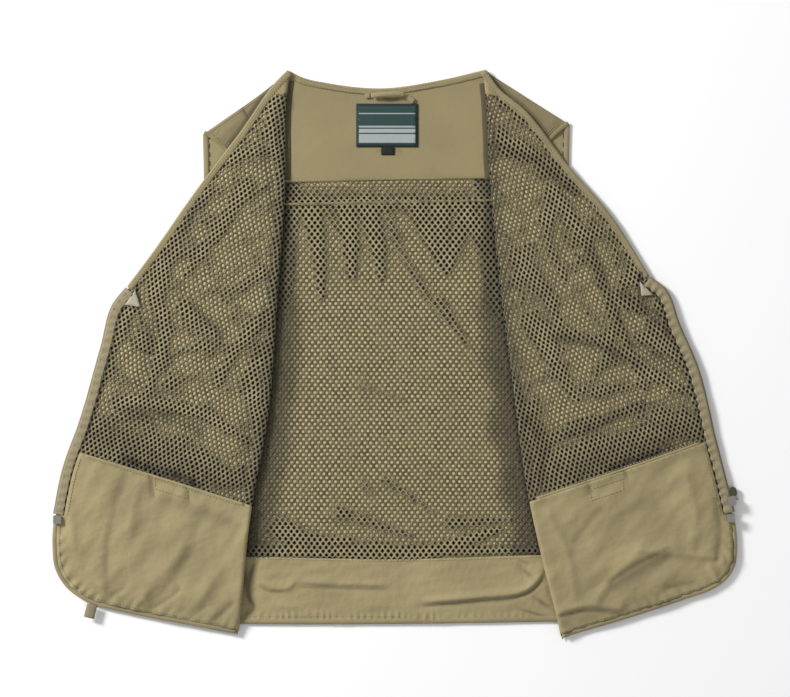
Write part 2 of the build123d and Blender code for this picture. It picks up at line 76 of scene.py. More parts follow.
# ---- outlines of the back
NECK_EDGE = [(-132, 352), (-119, 345), (-81, 336), (-19, 330), (55, 340), (112, 353)]
HEM_EDGE = [(266, -331), (206, -332), (5, -335), (-199, -335), (-263, -334)]
YOKE_SEAM = [(-262, 211.5), (-140, 213), (120, 218), (240, 220)]
HEADER_SEAM = [(-262, 184), (-142, 186), (121, 191), (250, 193)]
HEM_SEAM = [(-268, -251), (-184, -252), (5, -255), (188, -250), (268, -250)]

# ---- each side's fold axis and lines, all downwards
SIDES = {
    "left": {
        "sign": -1,
        "axis": ((-134.5, 345), (-198.5, -348)),
        "crease": [(-134, 352), (-138, 321), (-140, 213), (-150, 67), (-162, -82), (-181, -187),
                   (-198, -348)],
        "neck": [(-134, 352), (-146, 340), (-193, 275), (-238, 216), (-308, 117), (-333, 83.5)],
        "zip": [(-334, 82), (-350, 62), (-365, 10), (-391, -82), (-413, -144), (-424, -198)],
        "lower": [(-424.2, -200), (-426, -240), (-423, -266), (-409, -290), (-381, -309), (-340, -320),
                  (-280, -332), (-190, -349)],
        "shoulder": [(-134, 350), (-146, 340), (-239, 273)],
        "front_armhole": [(-239, 273), (-226, 266), (-212, 252), (-204, 225), (-205, 180), (-222, 125),
                          (-268, 60)],
        "back_armhole": [(-239, 273), (-238, 216), (-240, 150), (-250, 100), (-268, 60)],
        "side_seam": [(-268, 60), (-263, -334)],
        "side_hem": [(-263, -334), (-230, -342), (-198, -348)],
        "mouth": [(-391, -122), (-286, -154), (-172, -190)],
        "grain": math.radians(-23),
        "closure": (-278, -166),
        "tape_end": [(-336, 61), (-323, 79), (-316, 58)],
        "armhole_shade": 0.46,
    },
    "right": {
        "sign": 1,
        "axis": ((110.5, 345), (202.5, -354)),
        "crease": [(112, 353), (115, 321), (120, 218), (129, 117), (148, -32), (169, -182), (185, -255),
                   (205, -335), (209, -353)],
        "neck": [(112, 353), (126, 332), (160, 303), (215, 233), (265, 175), (315, 97)],
        "zip": [(316, 95), (334, 81), (352, 37), (374, -14), (397, -105), (420, -196)],
        "lower": [(420.3, -198), (424, -235), (421, -264), (410, -281), (392, -293), (364, -303),
                  (303, -323.5), (205, -353)],
        "shoulder": [(112, 351), (123, 344), (216, 285)],
        "front_armhole": [(216, 285), (204, 276), (192, 264), (184, 235), (185, 185), (203, 125), (262, 60)],
        "back_armhole": [(216, 285), (215, 233), (219, 165), (235, 105), (262, 60)],
        "side_seam": [(262, 60), (266, -331)],
        "side_hem": [(266, -331), (235, -343), (209, -353)],
        "mouth": [(385, -109), (278, -146), (160, -185)],
        "grain": math.radians(19),
        "closure": (262, -168),
        "tape_end": [(303, 90), (320, 73), (305, 72)],
        "armhole_shade": 0.52,
    },
}

# ---- where the lining net stands clear of the cloth, with painted shade in its holes there: line, half width, strength
BACK_GAPS = [
    ([(-105, 182), (-97, 140), (-92, 72)], 9, 1.0), ([(-60, 184), (-56, 140), (-54, 96)], 10, 1.0),
    ([(-36, 188), (-25, 146), (-17, 96)], 10, 1.0), ([(-13, 185), (8, 129), (36, 77), (92, 10)], 5, 0.55),
    ([(26, 184), (63, 102)], 9, 1.0), ([(90, 184), (64, 102)], 9, 1.0), ([(55, 184), (63, 120)], 11, 1.0),
    ([(78, 188), (106, 150), (130, 95), (137, 40)], 11, 0.9), ([(-124, 185), (-96, 164)], 10, 0.7),
    ([(-81, 174), (-66, 146)], 7, 0.6), ([(-42, 174), (-34, 146)], 7, 0.6), ([(55, 67), (90, 11)], 5, 0.7),
    ([(-44, -38), (12, -57)], 4, 0.3), ([(-13, -156), (49, -198)], 5, 0.5),
    ([(-66, -198), (18, -226)], 7, 0.6), ([(-39, -161), (-29, -176)], 5, 0.4),
    ([(-143, -218), (-119, -231), (-57, -233)], 10, 1.0), ([(-44, -246), (30, -248), (129, -218)], 9, 1.0),
    ([(67, -211), (144, -206)], 6, 0.7), ([(-175, -247), (188, -244)], 7, 1.0),
    ([(-140, 185), (121, 190)], 13, 0.7),
]
FLAP_GAPS = {
    "left": [
        ([(-138, 335), (-153, 303), (-142, 226)], 7, 0.8), ([(-199, 247), (-148, 254)], 6, 0.9),
        ([(-190, 263), (-158, 257)], 5, 0.6), ([(-183, 210), (-215, 160), (-260, 99)], 7, 0.9),
        ([(-235, 203), (-286, 135), (-302, 67)], 9, 0.7), ([(-239, 200), (-305, 119), (-322, 77)], 5, 0.7),
        ([(-332, 55), (-350, 11), (-374, -57), (-389, -107)], 6, 0.8),
        ([(-267, 160), (-296, 67), (-286, 30), (-292, -5), (-310, -52)], 9, 1.0),
        ([(-313, 20), (-305, 2)], 7, 0.9), ([(-260, 57), (-223, 17), (-272, 2)], 7, 0.7),
        ([(-166, 102), (-193, 84), (-235, 77)], 6, 0.6), ([(-161, 45), (-198, 5), (-223, -40)], 7, 0.8),
        ([(-166, 5), (-193, -47)], 7, 0.8), ([(-178, -32), (-173, -97)], 9, 0.9),
        ([(-342, -60), (-292, -64), (-235, -77), (-186, -107)], 7, 0.9),
        ([(-261, 144), (-249, 119)], 7, 0.6), ([(-181, 196), (-158, 208)], 6, 0.6),
        ([(-379, -94), (-317, -72)], 9, 0.7), ([(-280, -38), (-236, -22)], 6, 0.5),
        ([(-345, -118), (-250, -138), (-196, -158)], 20, 1.0), ([(-385, -112), (-345, -118)], 9, 0.9),
    ],
    "right": [
        ([(129, 310), (185, 273)], 5, 0.4), ([(126, 264), (179, 241), (224, 201)], 9, 1.0),
        ([(199, 201), (236, 141), (261, 77), (281, 27), (310, -47)], 6, 0.9),
        ([(191, 186), (189, 141), (211, 89)], 7, 0.7), ([(159, 114), (185, 79), (206, 30)], 9, 0.8),
        ([(142, 129), (157, 67)], 9, 0.5), ([(167, 42), (201, -17), (224, -57)], 9, 1.0),
        ([(204, 30), (253, 15), (293, 2)], 7, 0.8), ([(253, -47), (306, -37)], 6, 0.7),
        ([(189, -107), (253, -84), (306, -62)], 7, 0.8), ([(298, 102), (301, 87)], 10, 1.0),
        ([(272, 69), (310, 52)], 7, 1.0), ([(303, 20), (330, 12), (355, -15)], 6, 1.0),
        ([(241, 164), (268, 141), (276, 114)], 6, 0.6), ([(211, 146), (229, 114)], 7, 0.5),
        ([(148, -60), (179, -112), (174, -166)], 11, 1.0), ([(284, 2), (328, -30), (365, -47)], 7, 0.8),
        ([(328, -77), (377, -87)], 11, 0.9), ([(315, 40), (343, 12)], 5, 0.8),
        ([(144, 216), (160, 166)], 6, 0.3), ([(268, 30), (253, -22), (229, -47)], 6, 0.6),
        ([(230, 214), (270, 160), (312, 88)], 5, 0.7),
        ([(330, 60), (352, 10), (372, -60), (386, -100)], 5, 0.8),
        ([(195, -148), (270, -120), (345, -95)], 20, 1.0), ([(345, -95), (380, -96)], 9, 0.9),
    ],
}
CREASE_SHADE_WIDTH = 24  # half width of the painted shade in the back net's holes beside each crease, under the fronts' shadow

# ---- where folds of the fronts' net throw shade: line, half width, strength
FLAP_SHADES = {
    "left": [
        ([(-336, -132), (-290, -146), (-250, -160)], 11, 0.9),
        ([(-375, -104), (-300, -126), (-190, -168)], 20, 0.45),
        ([(-325, -74), (-285, -78), (-243, -96)], 9, 0.5), ([(-240, 190), (-286, 122)], 7, 0.4),
        ([(-300, 40), (-318, -40)], 8, 0.4), ([(-160, 250), (-150, 130), (-172, 0)], 8, 0.45),
        ([(-180, -90), (-190, -150)], 10, 0.5), ([(-250, 60), (-215, 25)], 6, 0.35),
    ],
    "right": [
        ([(266, -144), (300, -132), (340, -118)], 11, 0.9),
        ([(190, -155), (280, -125), (375, -90)], 20, 0.45), ([(126, 258), (180, 236), (222, 200)], 7, 0.5),
        ([(284, 72), (320, 48), (352, 14)], 9, 0.5), ([(290, 16), (332, -6), (366, -30)], 6, 0.45),
        ([(200, 20), (255, 8), (300, -12)], 7, 0.4), ([(150, -60), (182, -118), (180, -160)], 9, 0.5),
        ([(236, 140), (262, 76), (282, 26)], 6, 0.35), ([(215, -100), (260, -82), (310, -60)], 8, 0.4),
    ],
}

# ---- creases of the plain cloth: line, width, height (a valley is negative)
HEM_FACING_CREASES = [
    ([(-171, -280), (-156, -290), (-133, -290), (-122, -276)], 5, 1.3),
    ([(-122, -283), (-60, -286), (-6, -287)], 5, 0.9), ([(-122, -289), (-60, -291), (-6, -292)], 3, -0.9),
    ([(30, -308), (98, -302), (169, -288), (187, -265)], 6, 1.9),
    ([(30, -313), (98, -308), (169, -294), (190, -272)], 3, -1.3),
    ([(-171, -254), (-179, -270), (-183, -300), (-177, -314), (-192, -330)], 5, -1.9),
    ([(-185, -262), (-187, -300)], 6, -1.9), ([(-171, -286), (-156, -295), (-133, -295)], 3, -0.9),
    ([(150, -262), (176, -282)], 4, -0.9), ([(168, -300), (196, -318)], 4, -1.5),
    ([(150, -316), (190, -327)], 3, -1.2), ([(188, -255), (196, -290), (202, -325)], 6, -1.9),
    ([(150, -255), (170, -262)], 3, -0.8), ([(190, -300), (206, -306)], 5, 1.0),
    ([(-60, -310), (0, -314)], 7, 0.5), ([(-150, -312), (-110, -316)], 6, 0.5),
]
POCKET_CREASES = {
    "left": [
        ([(-335, -150), (-350, -200), (-358, -243), (-357, -293)], 7, -0.6),
        ([(-318, -160), (-330, -215)], 8, 0.8), ([(-255, -249), (-305, -317)], 7, -0.5),
        ([(-262, -238), (-318, -306)], 9, 0.9), ([(-185, -222), (-215, -262), (-238, -300)], 9, 0.7),
        ([(-366, -286), (-345, -300)], 4, 0.9), ([(-400, -286), (-384, -299)], 4, 0.8),
        ([(-312, -300), (-300, -318)], 4, 0.6), ([(-303, -152), (-300, -176)], 3.5, -1.0),
        ([(-258, -166), (-256, -184)], 3, -0.8), ([(-290, -180), (-230, -200), (-196, -214)], 12, -0.5),
        ([(-405, -180), (-398, -240)], 10, 0.8), ([(-362, -308), (-336, -289)], 3, -0.7),
        ([(-305, -318), (-268, -292)], 3, -0.8), ([(-255, -327), (-236, -313)], 3, -0.7),
        ([(-230, -334), (-202, -310)], 3, -0.8),
    ],
    "right": [
        ([(238, -153), (242, -172)], 3.5, -1.0), ([(283, -138), (287, -155)], 3, -0.8),
        ([(253, -193), (222, -231)], 8, -0.8), ([(335, -249), (272, -287)], 14, -1.0),
        ([(337, -242), (300, -262), (268, -282)], 3, -0.8),
        ([(204, -325), (236, -318), (278, -322)], 3, -0.9),
        ([(347, -238), (285, -262), (250, -300)], 8, 0.9), ([(303, -243), (396, -252)], 6, 1.0),
        ([(204, -319), (236, -312), (278, -316)], 5, 1.2),
        ([(398, -181), (402, -225), (398, -255)], 5, -1.0),
        ([(360, -150), (372, -200), (366, -240)], 9, 0.7),
        ([(190, -200), (215, -250), (222, -300)], 8, 0.7), ([(340, -290), (368, -283)], 5, -0.9),
        ([(390, -262), (400, -282)], 4, 0.8), ([(300, -180), (240, -215)], 11, 0.6),
    ],
}
SHOULDER_CREASES = {
    "left": [([(-191, 305.5), (-180.5, 289.5)], 3.2, -0.5), ([(-215, 262), (-185, 282)], 9, 0.7)],
    "right": [([(150, 317), (190, 280)], 9, 0.6), ([(196, 290), (178, 268)], 7, 0.7)],
}
YOKE_SHADE = [([(-13, 317), (-4, 315.5), (3, 317)], 4.5, -1.0), ([(-22, 252), (-8, 255), (6, 252)], 4, -0.35)]


# ---- lines and areas
def curve(points, step=4.0):
    """Smooth line through the points, sampled about every step."""
    points = np.array(points, float)
    chords = np.hypot(*np.diff(points, axis=0).T)
    at_point = np.concatenate([[0], np.cumsum(chords)])
    slopes = np.gradient(points, at_point, axis=0)
    at = np.linspace(0, at_point[-1], max(2, round(at_point[-1] / step)) + 1)
    k = np.clip(np.searchsorted(at_point, at, side="right") - 1, 0, len(points) - 2)
    span = (at_point[k + 1] - at_point[k])[:, None]
    u = (at - at_point[k])[:, None] / span
    return ((1 + 2 * u) * (1 - u) ** 2 * points[k] + u * (1 - u) ** 2 * span * slopes[k]
            + u * u * (3 - 2 * u) * points[k + 1] - u * u * (1 - u) * span * slopes[k + 1])


def rightwards(line):
    """Unit vectors to the right of a line's direction, one for each point."""
    along = np.gradient(line, axis=0)
    along /= np.hypot(*along.T)[:, None]
    return np.stack([along[:, 1], -along[:, 0]], axis=1)


def shifted(line, distance):
    """A line moved sideways, to the right of its direction."""
    return line + rightwards(line) * distance


def closed(*lines):
    """One outline from lines end to end, with no doubled points."""
    outline = np.concatenate(lines)
    keep = np.hypot(*(outline - np.roll(outline, 1, axis=0)).T) > 0.5
    return outline[keep]


def inside(points, outline):
    """True for each point inside the outline."""
    found = np.zeros(len(points), bool)
    x, y = points.T
    for (x0, y0), (x1, y1) in zip(outline, np.roll(outline, -1, axis=0)):
        if y0 != y1:
            found ^= ((y0 > y) != (y1 > y)) & (x < (x1 - x0) * (y - y0) / (y1 - y0) + x0)
    return found


def distance(points, line):
    """Distance from each point to a line."""
    nearest = np.full(len(points), np.inf)
    for a, b in zip(line[:-1], line[1:]):
        ab = b - a
        part = np.clip(((points - a) @ ab) / max(ab @ ab, 1e-9), 0, 1)
        nearest = np.minimum(nearest, np.hypot(*(points - a - part[:, None] * ab).T))
    return nearest


def bell(away, width, power=2):
    """1 where away is 0, falling smoothly to 0 about two widths off."""
    return np.exp(-((away / width) ** power))


def near_line(points, line, width, power=2):
    return bell(distance(points, line), width, power)


def swell(points, seed, size):
    """Smooth unevenness from -1 to 1 with waves about size long."""
    random = np.random.default_rng(seed)
    total = np.zeros(len(points))
    for _ in range(7):
        angle = random.uniform(0, math.tau)
        wave = size * random.uniform(0.6, 1.7)
        phase = random.uniform(0, math.tau)
        total += np.sin((points @ (math.cos(angle), math.sin(angle))) * math.tau / wave + phase)
    return total / 4


def wrinkles(points, seed, size, angle):
    """Unevenness drawn out to three times its length along an angle in degrees."""
    turn = math.radians(angle)
    along = points @ (math.cos(turn), math.sin(turn))
    across = points @ (-math.sin(turn), math.cos(turn))
    return swell(np.column_stack([along / 3, across]), seed, size)


def tapered(points, line, width, fade):
    """1 along a crease, and less by fade at both its ends."""
    reach = min(2.5 * width, 0.3 * math.dist(line[0], line[-1]))
    nearest = np.minimum(*(np.hypot(*(points - end).T) for end in (line[0], line[-1])))
    return 1 - fade * bell(nearest, reach)


def folds(points, creases, fade=0.0):
    """Height of all creases at each point."""
    total = np.zeros(len(points))
    for line, width, height in creases:
        ridge = near_line(points, curve(line, 6), width, 1.35)
        total += height * ridge * tapered(points, line, width, fade)
    return total


def crease_shade(points, creases, depth=0.46, fade=0.0):
    """Shade in the valleys of the creases, and thinly along the lower right of the ridges."""
    shade = np.zeros(len(points))
    for line, width, height in creases:
        lee = np.array((0.55, -0.55)) * (width if height > 0 else 0)
        strength = 0.14 * height if height > 0 else -depth * height
        shaded = strength * near_line(points - lee, curve(line, 6), 0.62 * width)
        shade = np.maximum(shade, shaded * tapered(points, line, width, fade))
    return np.clip(shade, 0, 0.75)


def looseness(points, gaps, seed, loose=0.15):
    """0 where the net lies on the cloth to 1 where it stands clear."""
    total = np.zeros(len(points))
    uneven = swell(points, seed, 17)
    for line, width, strength in gaps:
        away = np.full(len(points), np.inf)
        middles = curve(line, 3)
        for middle, part in zip(middles, np.linspace(0, 1, len(middles))):
            narrowed = 1.5 * width * (1 - 0.65 * part**1.5)
            away = np.minimum(away, np.hypot(*(points - middle).T) / narrowed)
        total = np.maximum(total, strength * bell(away * (1 + 0.3 * uneven), 1))
    patches = np.clip(0.25 + swell(points, seed + 1, 40), 0, 1) * (0.75 + 0.4 * swell(points, seed + 2, 11))
    return np.clip(total * (1 + 0.3 * uneven) + loose * patches, 0, 1)


# ---- meshes
def add_mesh(name, vertices, faces, material):
    """A smooth-shaded mesh of points in millimetres."""
    mesh = bpy.data.meshes.new(name)
    mesh.from_pydata((np.asarray(vertices) * MM).tolist(), [], [tuple(face) for face in faces])
    mesh.shade_smooth()
    mesh.materials.append(material)
    obj = bpy.data.objects.new(name, mesh)
    bpy.context.collection.objects.link(obj)
    return obj


def paint(obj, name, values):
    """Store one number for each point, for the material to read."""
    attribute = obj.data.attributes.new(name, "FLOAT", "POINT")
    attribute.data.foreach_set("value", np.asarray(values, np.float32))


def level(flat, z):
    """Points at their own place in plan, at height z."""
    return np.column_stack([flat, z])


def fill(outline, spacing):
    """The outline filled with small triangles that face up, as points in plan and faces."""
    low, high = outline.min(axis=0), outline.max(axis=0)
    rows = np.arange(low[1], high[1], spacing * 0.87)
    columns = np.arange(low[0], high[0], spacing)
    x, y = np.meshgrid(columns, rows)
    x[1::2] += spacing / 2
    grid = np.column_stack([x.ravel(), y.ravel()])
    grid = grid[inside(grid, outline)]
    grid = grid[distance(grid, np.vstack([outline, outline[:1]])) > spacing * 0.45]
    points = np.vstack([outline, grid]).tolist()
    flat, _, faces, *_ = geometry.delaunay_2d_cdt(points, [], [list(range(len(outline)))], 1, 1e-4)
    flat = np.array([tuple(v) for v in flat])
    faces = np.array(faces)
    a, b, c = (flat[faces[:, k]] for k in range(3))
    backwards = np.cross(b - a, c - a) < 0
    faces[backwards] = faces[backwards][:, ::-1]
    return flat, faces


def note_size(obj, flat, area):
    """Keep the cloth's cut size with its mesh."""
    obj["flat_area"] = float(area)
    obj["flat_size"] = (flat.max(axis=0) - flat.min(axis=0)).tolist()


def outline_area(outline):
    """Area of a closed outline."""
    x, y = outline.T
    return abs(np.dot(x, np.roll(y, -1)) - np.dot(y, np.roll(x, -1))) / 2


def panel(name, outline, height, material, spacing, thickness, nodes, place=level, under=None):
    """A cloth panel at height(points), with another material under it if that is given."""
    flat, faces = fill(outline, spacing)
    obj = add_mesh(name, place(flat, height(flat)), faces, material)
    solid = obj.modifiers.new("thickness", "SOLIDIFY")
    solid.thickness = thickness * MM
    solid.offset = -1
    if under:
        obj.data.materials.append(under)
        solid.material_offset = 1
    note_size(obj, flat, outline_area(outline))
    declare(nodes)
    return obj


def pillow(name, outline, low, high, node, soft=0.0, seed=1):
    """A sewn pocket or flap: two faces that meet in a rounded edge, from low to high."""
    flat, faces = fill(outline, 7.0)
    edge = distance(flat, np.vstack([outline, outline[:1]]))
    half = (high - low) / 2
    part = np.clip(edge / (half + 1.2), 0, 1)
    rise = half * np.sqrt(np.maximum(1 - (1 - part) ** 2, 0))
    rise[: len(outline)] = 0
    sink = soft * (1 + swell(flat, seed, 40)) / 2 * np.clip(edge / 12, 0, 1)
    upper = level(flat, (low + high) / 2 + rise)
    lower = level(flat, (low + high) / 2 - rise + sink)
    index = np.arange(len(flat))
    below = np.where(index < len(outline), index, index + len(flat))
    obj = add_mesh(name, np.vstack([upper, lower]), np.vstack([faces, below[faces][:, ::-1]]), OUTER_CLOTH)
    note_size(obj, flat, outline_area(outline))
    declare([node])
    return obj


def net(name, region, height, gap, shade, node, place=level, grain=0.0, pitch=BACK_PITCH):
    """An open knit: a six-sided cell round each hole, with its yarn crowned between the holes."""
    across, row = pitch
    middle = region.mean(axis=0)
    reach = np.hypot(*(region - middle).T).max()
    columns = np.arange(-int(reach / across) - 1, int(reach / across) + 2)
    rows = np.arange(-int(reach / row) - 1, int(reach / row) + 2)
    i, j = np.meshgrid(columns, rows)
    centres = np.column_stack([((i + 0.5 * (j % 2)) * across).ravel(), (j * row).ravel()])
    turn = np.array([(math.cos(grain), math.sin(grain)), (-math.sin(grain), math.cos(grain))])
    centres = centres[inside(centres @ turn + middle, region)]
    point = across**2 / 8 / row
    half, top_y, side_y = across / 2, row / 2 + point, row / 2 - point
    corners = np.array([(0, top_y), (half, side_y), (half, -side_y)])
    corners = np.vstack([corners, -corners])
    open_part = np.clip((gap(centres @ turn + middle) - 0.2) / 0.4, 0, 1)
    stretch = np.column_stack([1.18 - 0.23 * open_part, 0.96 + 0.06 * open_part])
    hole = HOLE * np.divide(pitch, BACK_PITCH) * stretch[:, None]
    cell, rim, foot = ((centres[:, None] + ring).reshape(-1, 2) for ring in (corners, hole * 1.18, hole))
    step = 0.05  # corners closer than this are one point, shared by the cells that meet there
    outer, joined = np.unique(np.round(cell / step).astype(int), axis=0, return_inverse=True)
    joined = joined.reshape(-1, 6)
    inner = len(outer) + np.arange(len(rim)).reshape(-1, 6)
    wall = inner + len(rim)
    flat = np.vstack([outer * step, rim, foot]) @ turn + middle
    waver = 1.2 if grain else 0.6
    flat += waver * np.column_stack([swell(flat, 5, 60), swell(flat, 6, 60)])
    rise = np.repeat(YARN_RISE, (len(outer), len(rim), len(foot)))
    faces = []
    for upper, lower in ((joined, inner), (inner, wall)):
        for k in range(6):
            m = (k + 1) % 6
            faces.append(np.column_stack([upper[:, m], upper[:, k], lower[:, k], lower[:, m]]))
    obj = add_mesh(name, place(flat, height(flat) + rise), np.vstack(faces), NET)
    # painted light: "gap" shades the holes and lights the yarn where the net stands clear, "rim" shades the
    # yarn round each hole, "shade" is painted shade
    paint(obj, "gap", gap(flat))
    paint(obj, "rim", rise < YARN_RISE[0])
    paint(obj, "shade", shade(flat))
    note_size(obj, flat, len(centres) * across * row)
    declare([node])
    return obj


def tube(name, centres, normal, sections, material):
    """A closed band swept along centres, with one list of (across, up) pairs for each."""
    sections = np.asarray(sections, float)
    size = sections.shape[1]
    across = level(normal, np.zeros(len(normal)))
    points = centres[:, None] + across[:, None] * sections[:, :, :1]
    points[:, :, 2] += sections[:, :, 1]
    faces = []
    for i in range(len(centres) - 1):
        for k in range(size):
            m = (k + 1) % size
            faces.append((i * size + k, i * size + m, (i + 1) * size + m, (i + 1) * size + k))
    last = (len(centres) - 1) * size
    faces.append(tuple(range(size))[::-1])
    faces.append(tuple(last + k for k in range(size)))
    return add_mesh(name, points.reshape(-1, 3), faces, material)


def ribbon(name, line, near, far, height, thick, material, ripple=(0.0, 11.0), across_points=7):
    """A soft tape along a line, from near to far on its right, its face rounded across and rippled along."""
    rise, wave_length = ripple
    normal = rightwards(line)
    length = np.concatenate([[0], np.cumsum(np.hypot(*np.diff(line, axis=0).T))])
    wave = np.sin(length * math.tau / wave_length + 0.8 * np.sin(length * 0.11))
    part = np.linspace(0, 1, across_points)
    crown = thick * np.sin(math.pi * np.clip(part, 0.04, 0.96)) ** 0.5
    sections = []
    for w in wave:
        reach = near + (far - near) * part + rise * 0.7 * w * part
        top = crown + rise * w * part
        upper = np.column_stack([reach, top])
        lower = np.column_stack([reach[::-1], np.minimum(top[::-1] - 0.4, 0.0)])
        sections.append(np.vstack([upper, lower]))
    middle = line + normal * (near + far) / 2
    centres = np.column_stack([line, height(middle)])
    if far < near:
        sections = [section[::-1] for section in sections]
    return tube(name, centres, normal, sections, material)


def stitches(name, lines, height, material=None, length=2.6, gap=1.3, thick=0.45, place=level):
    """Rows of thread: one small rounded dash for each stitch, lying on the cloth."""
    ring = np.array([(-1, 0), (-0.3, 0.9), (0.3, 0.9), (1, 0), (0, -0.4)]) * thick
    vertices, faces = [], []
    for line in lines:
        fine = curve(line, 1.0)
        steps = np.hypot(*np.diff(fine, axis=0).T).mean()
        every = max(2, round((length + gap) / steps))
        reach = max(1, round(length / steps))
        starts = np.arange(0, len(fine) - reach - 1, every)
        a, b = fine[starts], fine[starts + reach]
        along = (b - a) / np.hypot(*(b - a).T)[:, None]
        side = np.column_stack([along[:, 1], -along[:, 0]])
        for start, end, tangent, normal in zip(a, b, along, side):
            base = len(vertices)
            spots = np.array([start, start + tangent * 0.5, end - tangent * 0.5, end])
            for spot, size in zip(spots, (0.15, 1, 1, 0.15)):
                for across, up in ring * size:
                    vertices.append((*(spot + normal * across), up))
            for first in (base, base + 5, base + 10):
                for k in range(5):
                    m = (k + 1) % 5
                    faces.append((first + k, first + m, first + 5 + m, first + 5 + k))
    vertices = np.array(vertices)
    points = place(vertices[:, :2], height(vertices[:, :2]))
    points[:, 2] += vertices[:, 2]
    obj = add_mesh(name, points, faces, material or THREAD)
    return obj


# ---- materials
class Shader:
    """A material on one Principled shader, with short calls for the nodes that drive it."""

    def __init__(self, name, roughness, metallic=0.0, sheen=0.0):
        self.material = bpy.data.materials.new(name)
        self.material.use_nodes = True
        self.tree = self.material.node_tree
        self.surface = self.tree.nodes["Principled BSDF"]
        self.surface.inputs["Roughness"].default_value = roughness
        self.surface.inputs["Metallic"].default_value = metallic
        self.surface.inputs["Sheen Weight"].default_value = sheen
        self.place = self.tree.nodes.new("ShaderNodeTexCoord").outputs["Object"]

    def node(self, kind, inputs, **settings):
        """A new node with its inputs set to a value or a colour, or linked to another node's output."""
        made = self.tree.nodes.new(kind)
        for key, value in settings.items():
            setattr(made, key, value)
        for key, value in inputs.items():
            if isinstance(value, bpy.types.NodeSocket):
                self.tree.links.new(value, made.inputs[key])
            else:
                made.inputs[key].default_value = (*value, 1) if isinstance(value, tuple) else value
        return made

    def noise(self, size, detail):
        """Noise with features about size millimetres across."""
        inputs = {"Vector": self.place, "Scale": 1 / (size * MM), "Detail": detail}
        return self.node("ShaderNodeTexNoise", inputs).outputs["Fac"]

    def weave(self, pitch):
        """A plain weave with threads pitch millimetres apart, 0 to 2."""
        scale = math.tau / (20 * pitch * MM)
        inputs = {"Vector": self.place, "Scale": scale, "Distortion": 0.6, "Detail": 1.0}
        waves = [self.node("ShaderNodeTexWave", inputs, bands_direction=way).outputs["Fac"] for way in "XY"]
        return self.math("ADD", *waves)

    def math(self, operation, first, second):
        return self.node("ShaderNodeMath", {0: first, 1: second}, operation=operation).outputs["Value"]

    def spread(self, value, low, high):
        """Stretch value from low..high to 0..1."""
        inputs = {"Value": value, "From Min": low, "From Max": high}
        return self.node("ShaderNodeMapRange", inputs).outputs["Result"]

    def mix(self, factor, first, second):
        return self.node("ShaderNodeMix", {0: factor, 6: first, 7: second}, data_type="RGBA").outputs[2]

    def painted(self, name):
        return self.node("ShaderNodeAttribute", {}, attribute_name=name).outputs["Fac"]

    def colour(self, source):
        self.tree.links.new(source, self.surface.inputs["Base Color"])

    def bump(self, value, strength, depth):
        made = self.node("ShaderNodeBump", {"Strength": strength, "Distance": depth * MM, "Height": value})
        self.tree.links.new(made.outputs["Normal"], self.surface.inputs["Normal"])


def tone(colour, factor):
    """A colour made lighter or darker."""
    return tuple(channel * factor for channel in colour)


def cloth_material(name, colour, variation=0.1, thread=0.55, roughness=0.88, sheen=0.12, crinkled=0.7):
    """Plain-woven cloth: threads, small slubs, slow changes of tone and the painted shade."""
    shader = Shader(name, roughness, sheen=sheen)
    slow = shader.spread(shader.noise(70, 2), 0.3, 0.7)
    fine = shader.spread(shader.noise(2.2, 4), 0.25, 0.75)
    worn = shader.mix(slow, tone(colour, 1 - variation), tone(colour, 1 + variation))
    seen = shader.mix(fine, worn, shader.mix(slow, tone(colour, 0.9), tone(colour, 1 + 1.6 * variation)))
    shader.colour(shader.mix(shader.painted("shade"), seen, tone(colour, 0.22)))
    threads = shader.weave(thread)
    crinkle = shader.math("MULTIPLY", shader.noise(9, 5), crinkled)
    relief = shader.math("ADD", shader.math("MULTIPLY", threads, 0.07), shader.math("MULTIPLY", fine, 0.1))
    shader.bump(shader.math("ADD", relief, crinkle), 0.7, 1.0)
    return shader.material


def net_material(name, lying, clear):
    """Knit yarn, painted in shade where it lies on the cloth and lit where it stands clear, with painted
    shade round the holes and painted highlights.
    """
    shader = Shader(name, 0.75, sheen=0.1)
    gap = shader.painted("gap")
    fine = shader.spread(shader.noise(1.6, 3), 0.3, 0.7)
    slow = shader.spread(shader.noise(30, 3), 0.3, 0.7)
    patchy = shader.spread(shader.noise(5, 2), 0.35, 0.65)
    low = shader.mix(fine, tone(lying, 0.8), tone(lying, 1.25))
    high = shader.mix(fine, tone(clear, 0.75), tone(clear, 1.25))
    # painted light: the yarn goes from its shaded colour to its lit colour as the net stands clear
    yarn = shader.mix(gap, low, high)
    yarn = shader.mix(shader.math("MULTIPLY", slow, 0.3), yarn, tone(lying, 0.8))
    yarn = shader.mix(shader.math("MULTIPLY", patchy, 0.35), yarn, tone(clear, 1.2))
    # painted highlights: small bright specks on the yarn
    painted_glints = shader.spread(shader.noise(1.1, 2), 0.6, 0.72)
    yarn = shader.mix(shader.math("MULTIPLY", painted_glints, 0.55), yarn, tone(clear, 1.45))
    # painted shade round each hole's rim and down its wall
    rim = shader.math("MULTIPLY", shader.painted("rim"), 0.8)
    yarn = shader.mix(rim, yarn, tone(lying, 0.22))
    shader.colour(shader.mix(shader.painted("shade"), yarn, tone(lying, 0.15)))
    shader.bump(shader.noise(0.7, 2), 0.5, 0.25)
    return shader.material


def backing_material(name, lit, deep):
    """The cloth that shows through the net's holes, deep in shade where the net stands clear."""
    shader = Shader(name, 0.9)
    ragged = shader.math("MULTIPLY", shader.noise(4.5, 2), 0.9)
    gap = shader.spread(shader.math("ADD", shader.painted("gap"), ragged), 0.66, 1.1)
    fine = shader.spread(shader.noise(3, 3), 0.25, 0.75)
    seen = shader.mix(gap, shader.mix(fine, tone(lit, 0.9), tone(lit, 1.1)), deep)
    shader.colour(shader.mix(shader.painted("shade"), seen, deep))
    return shader.material


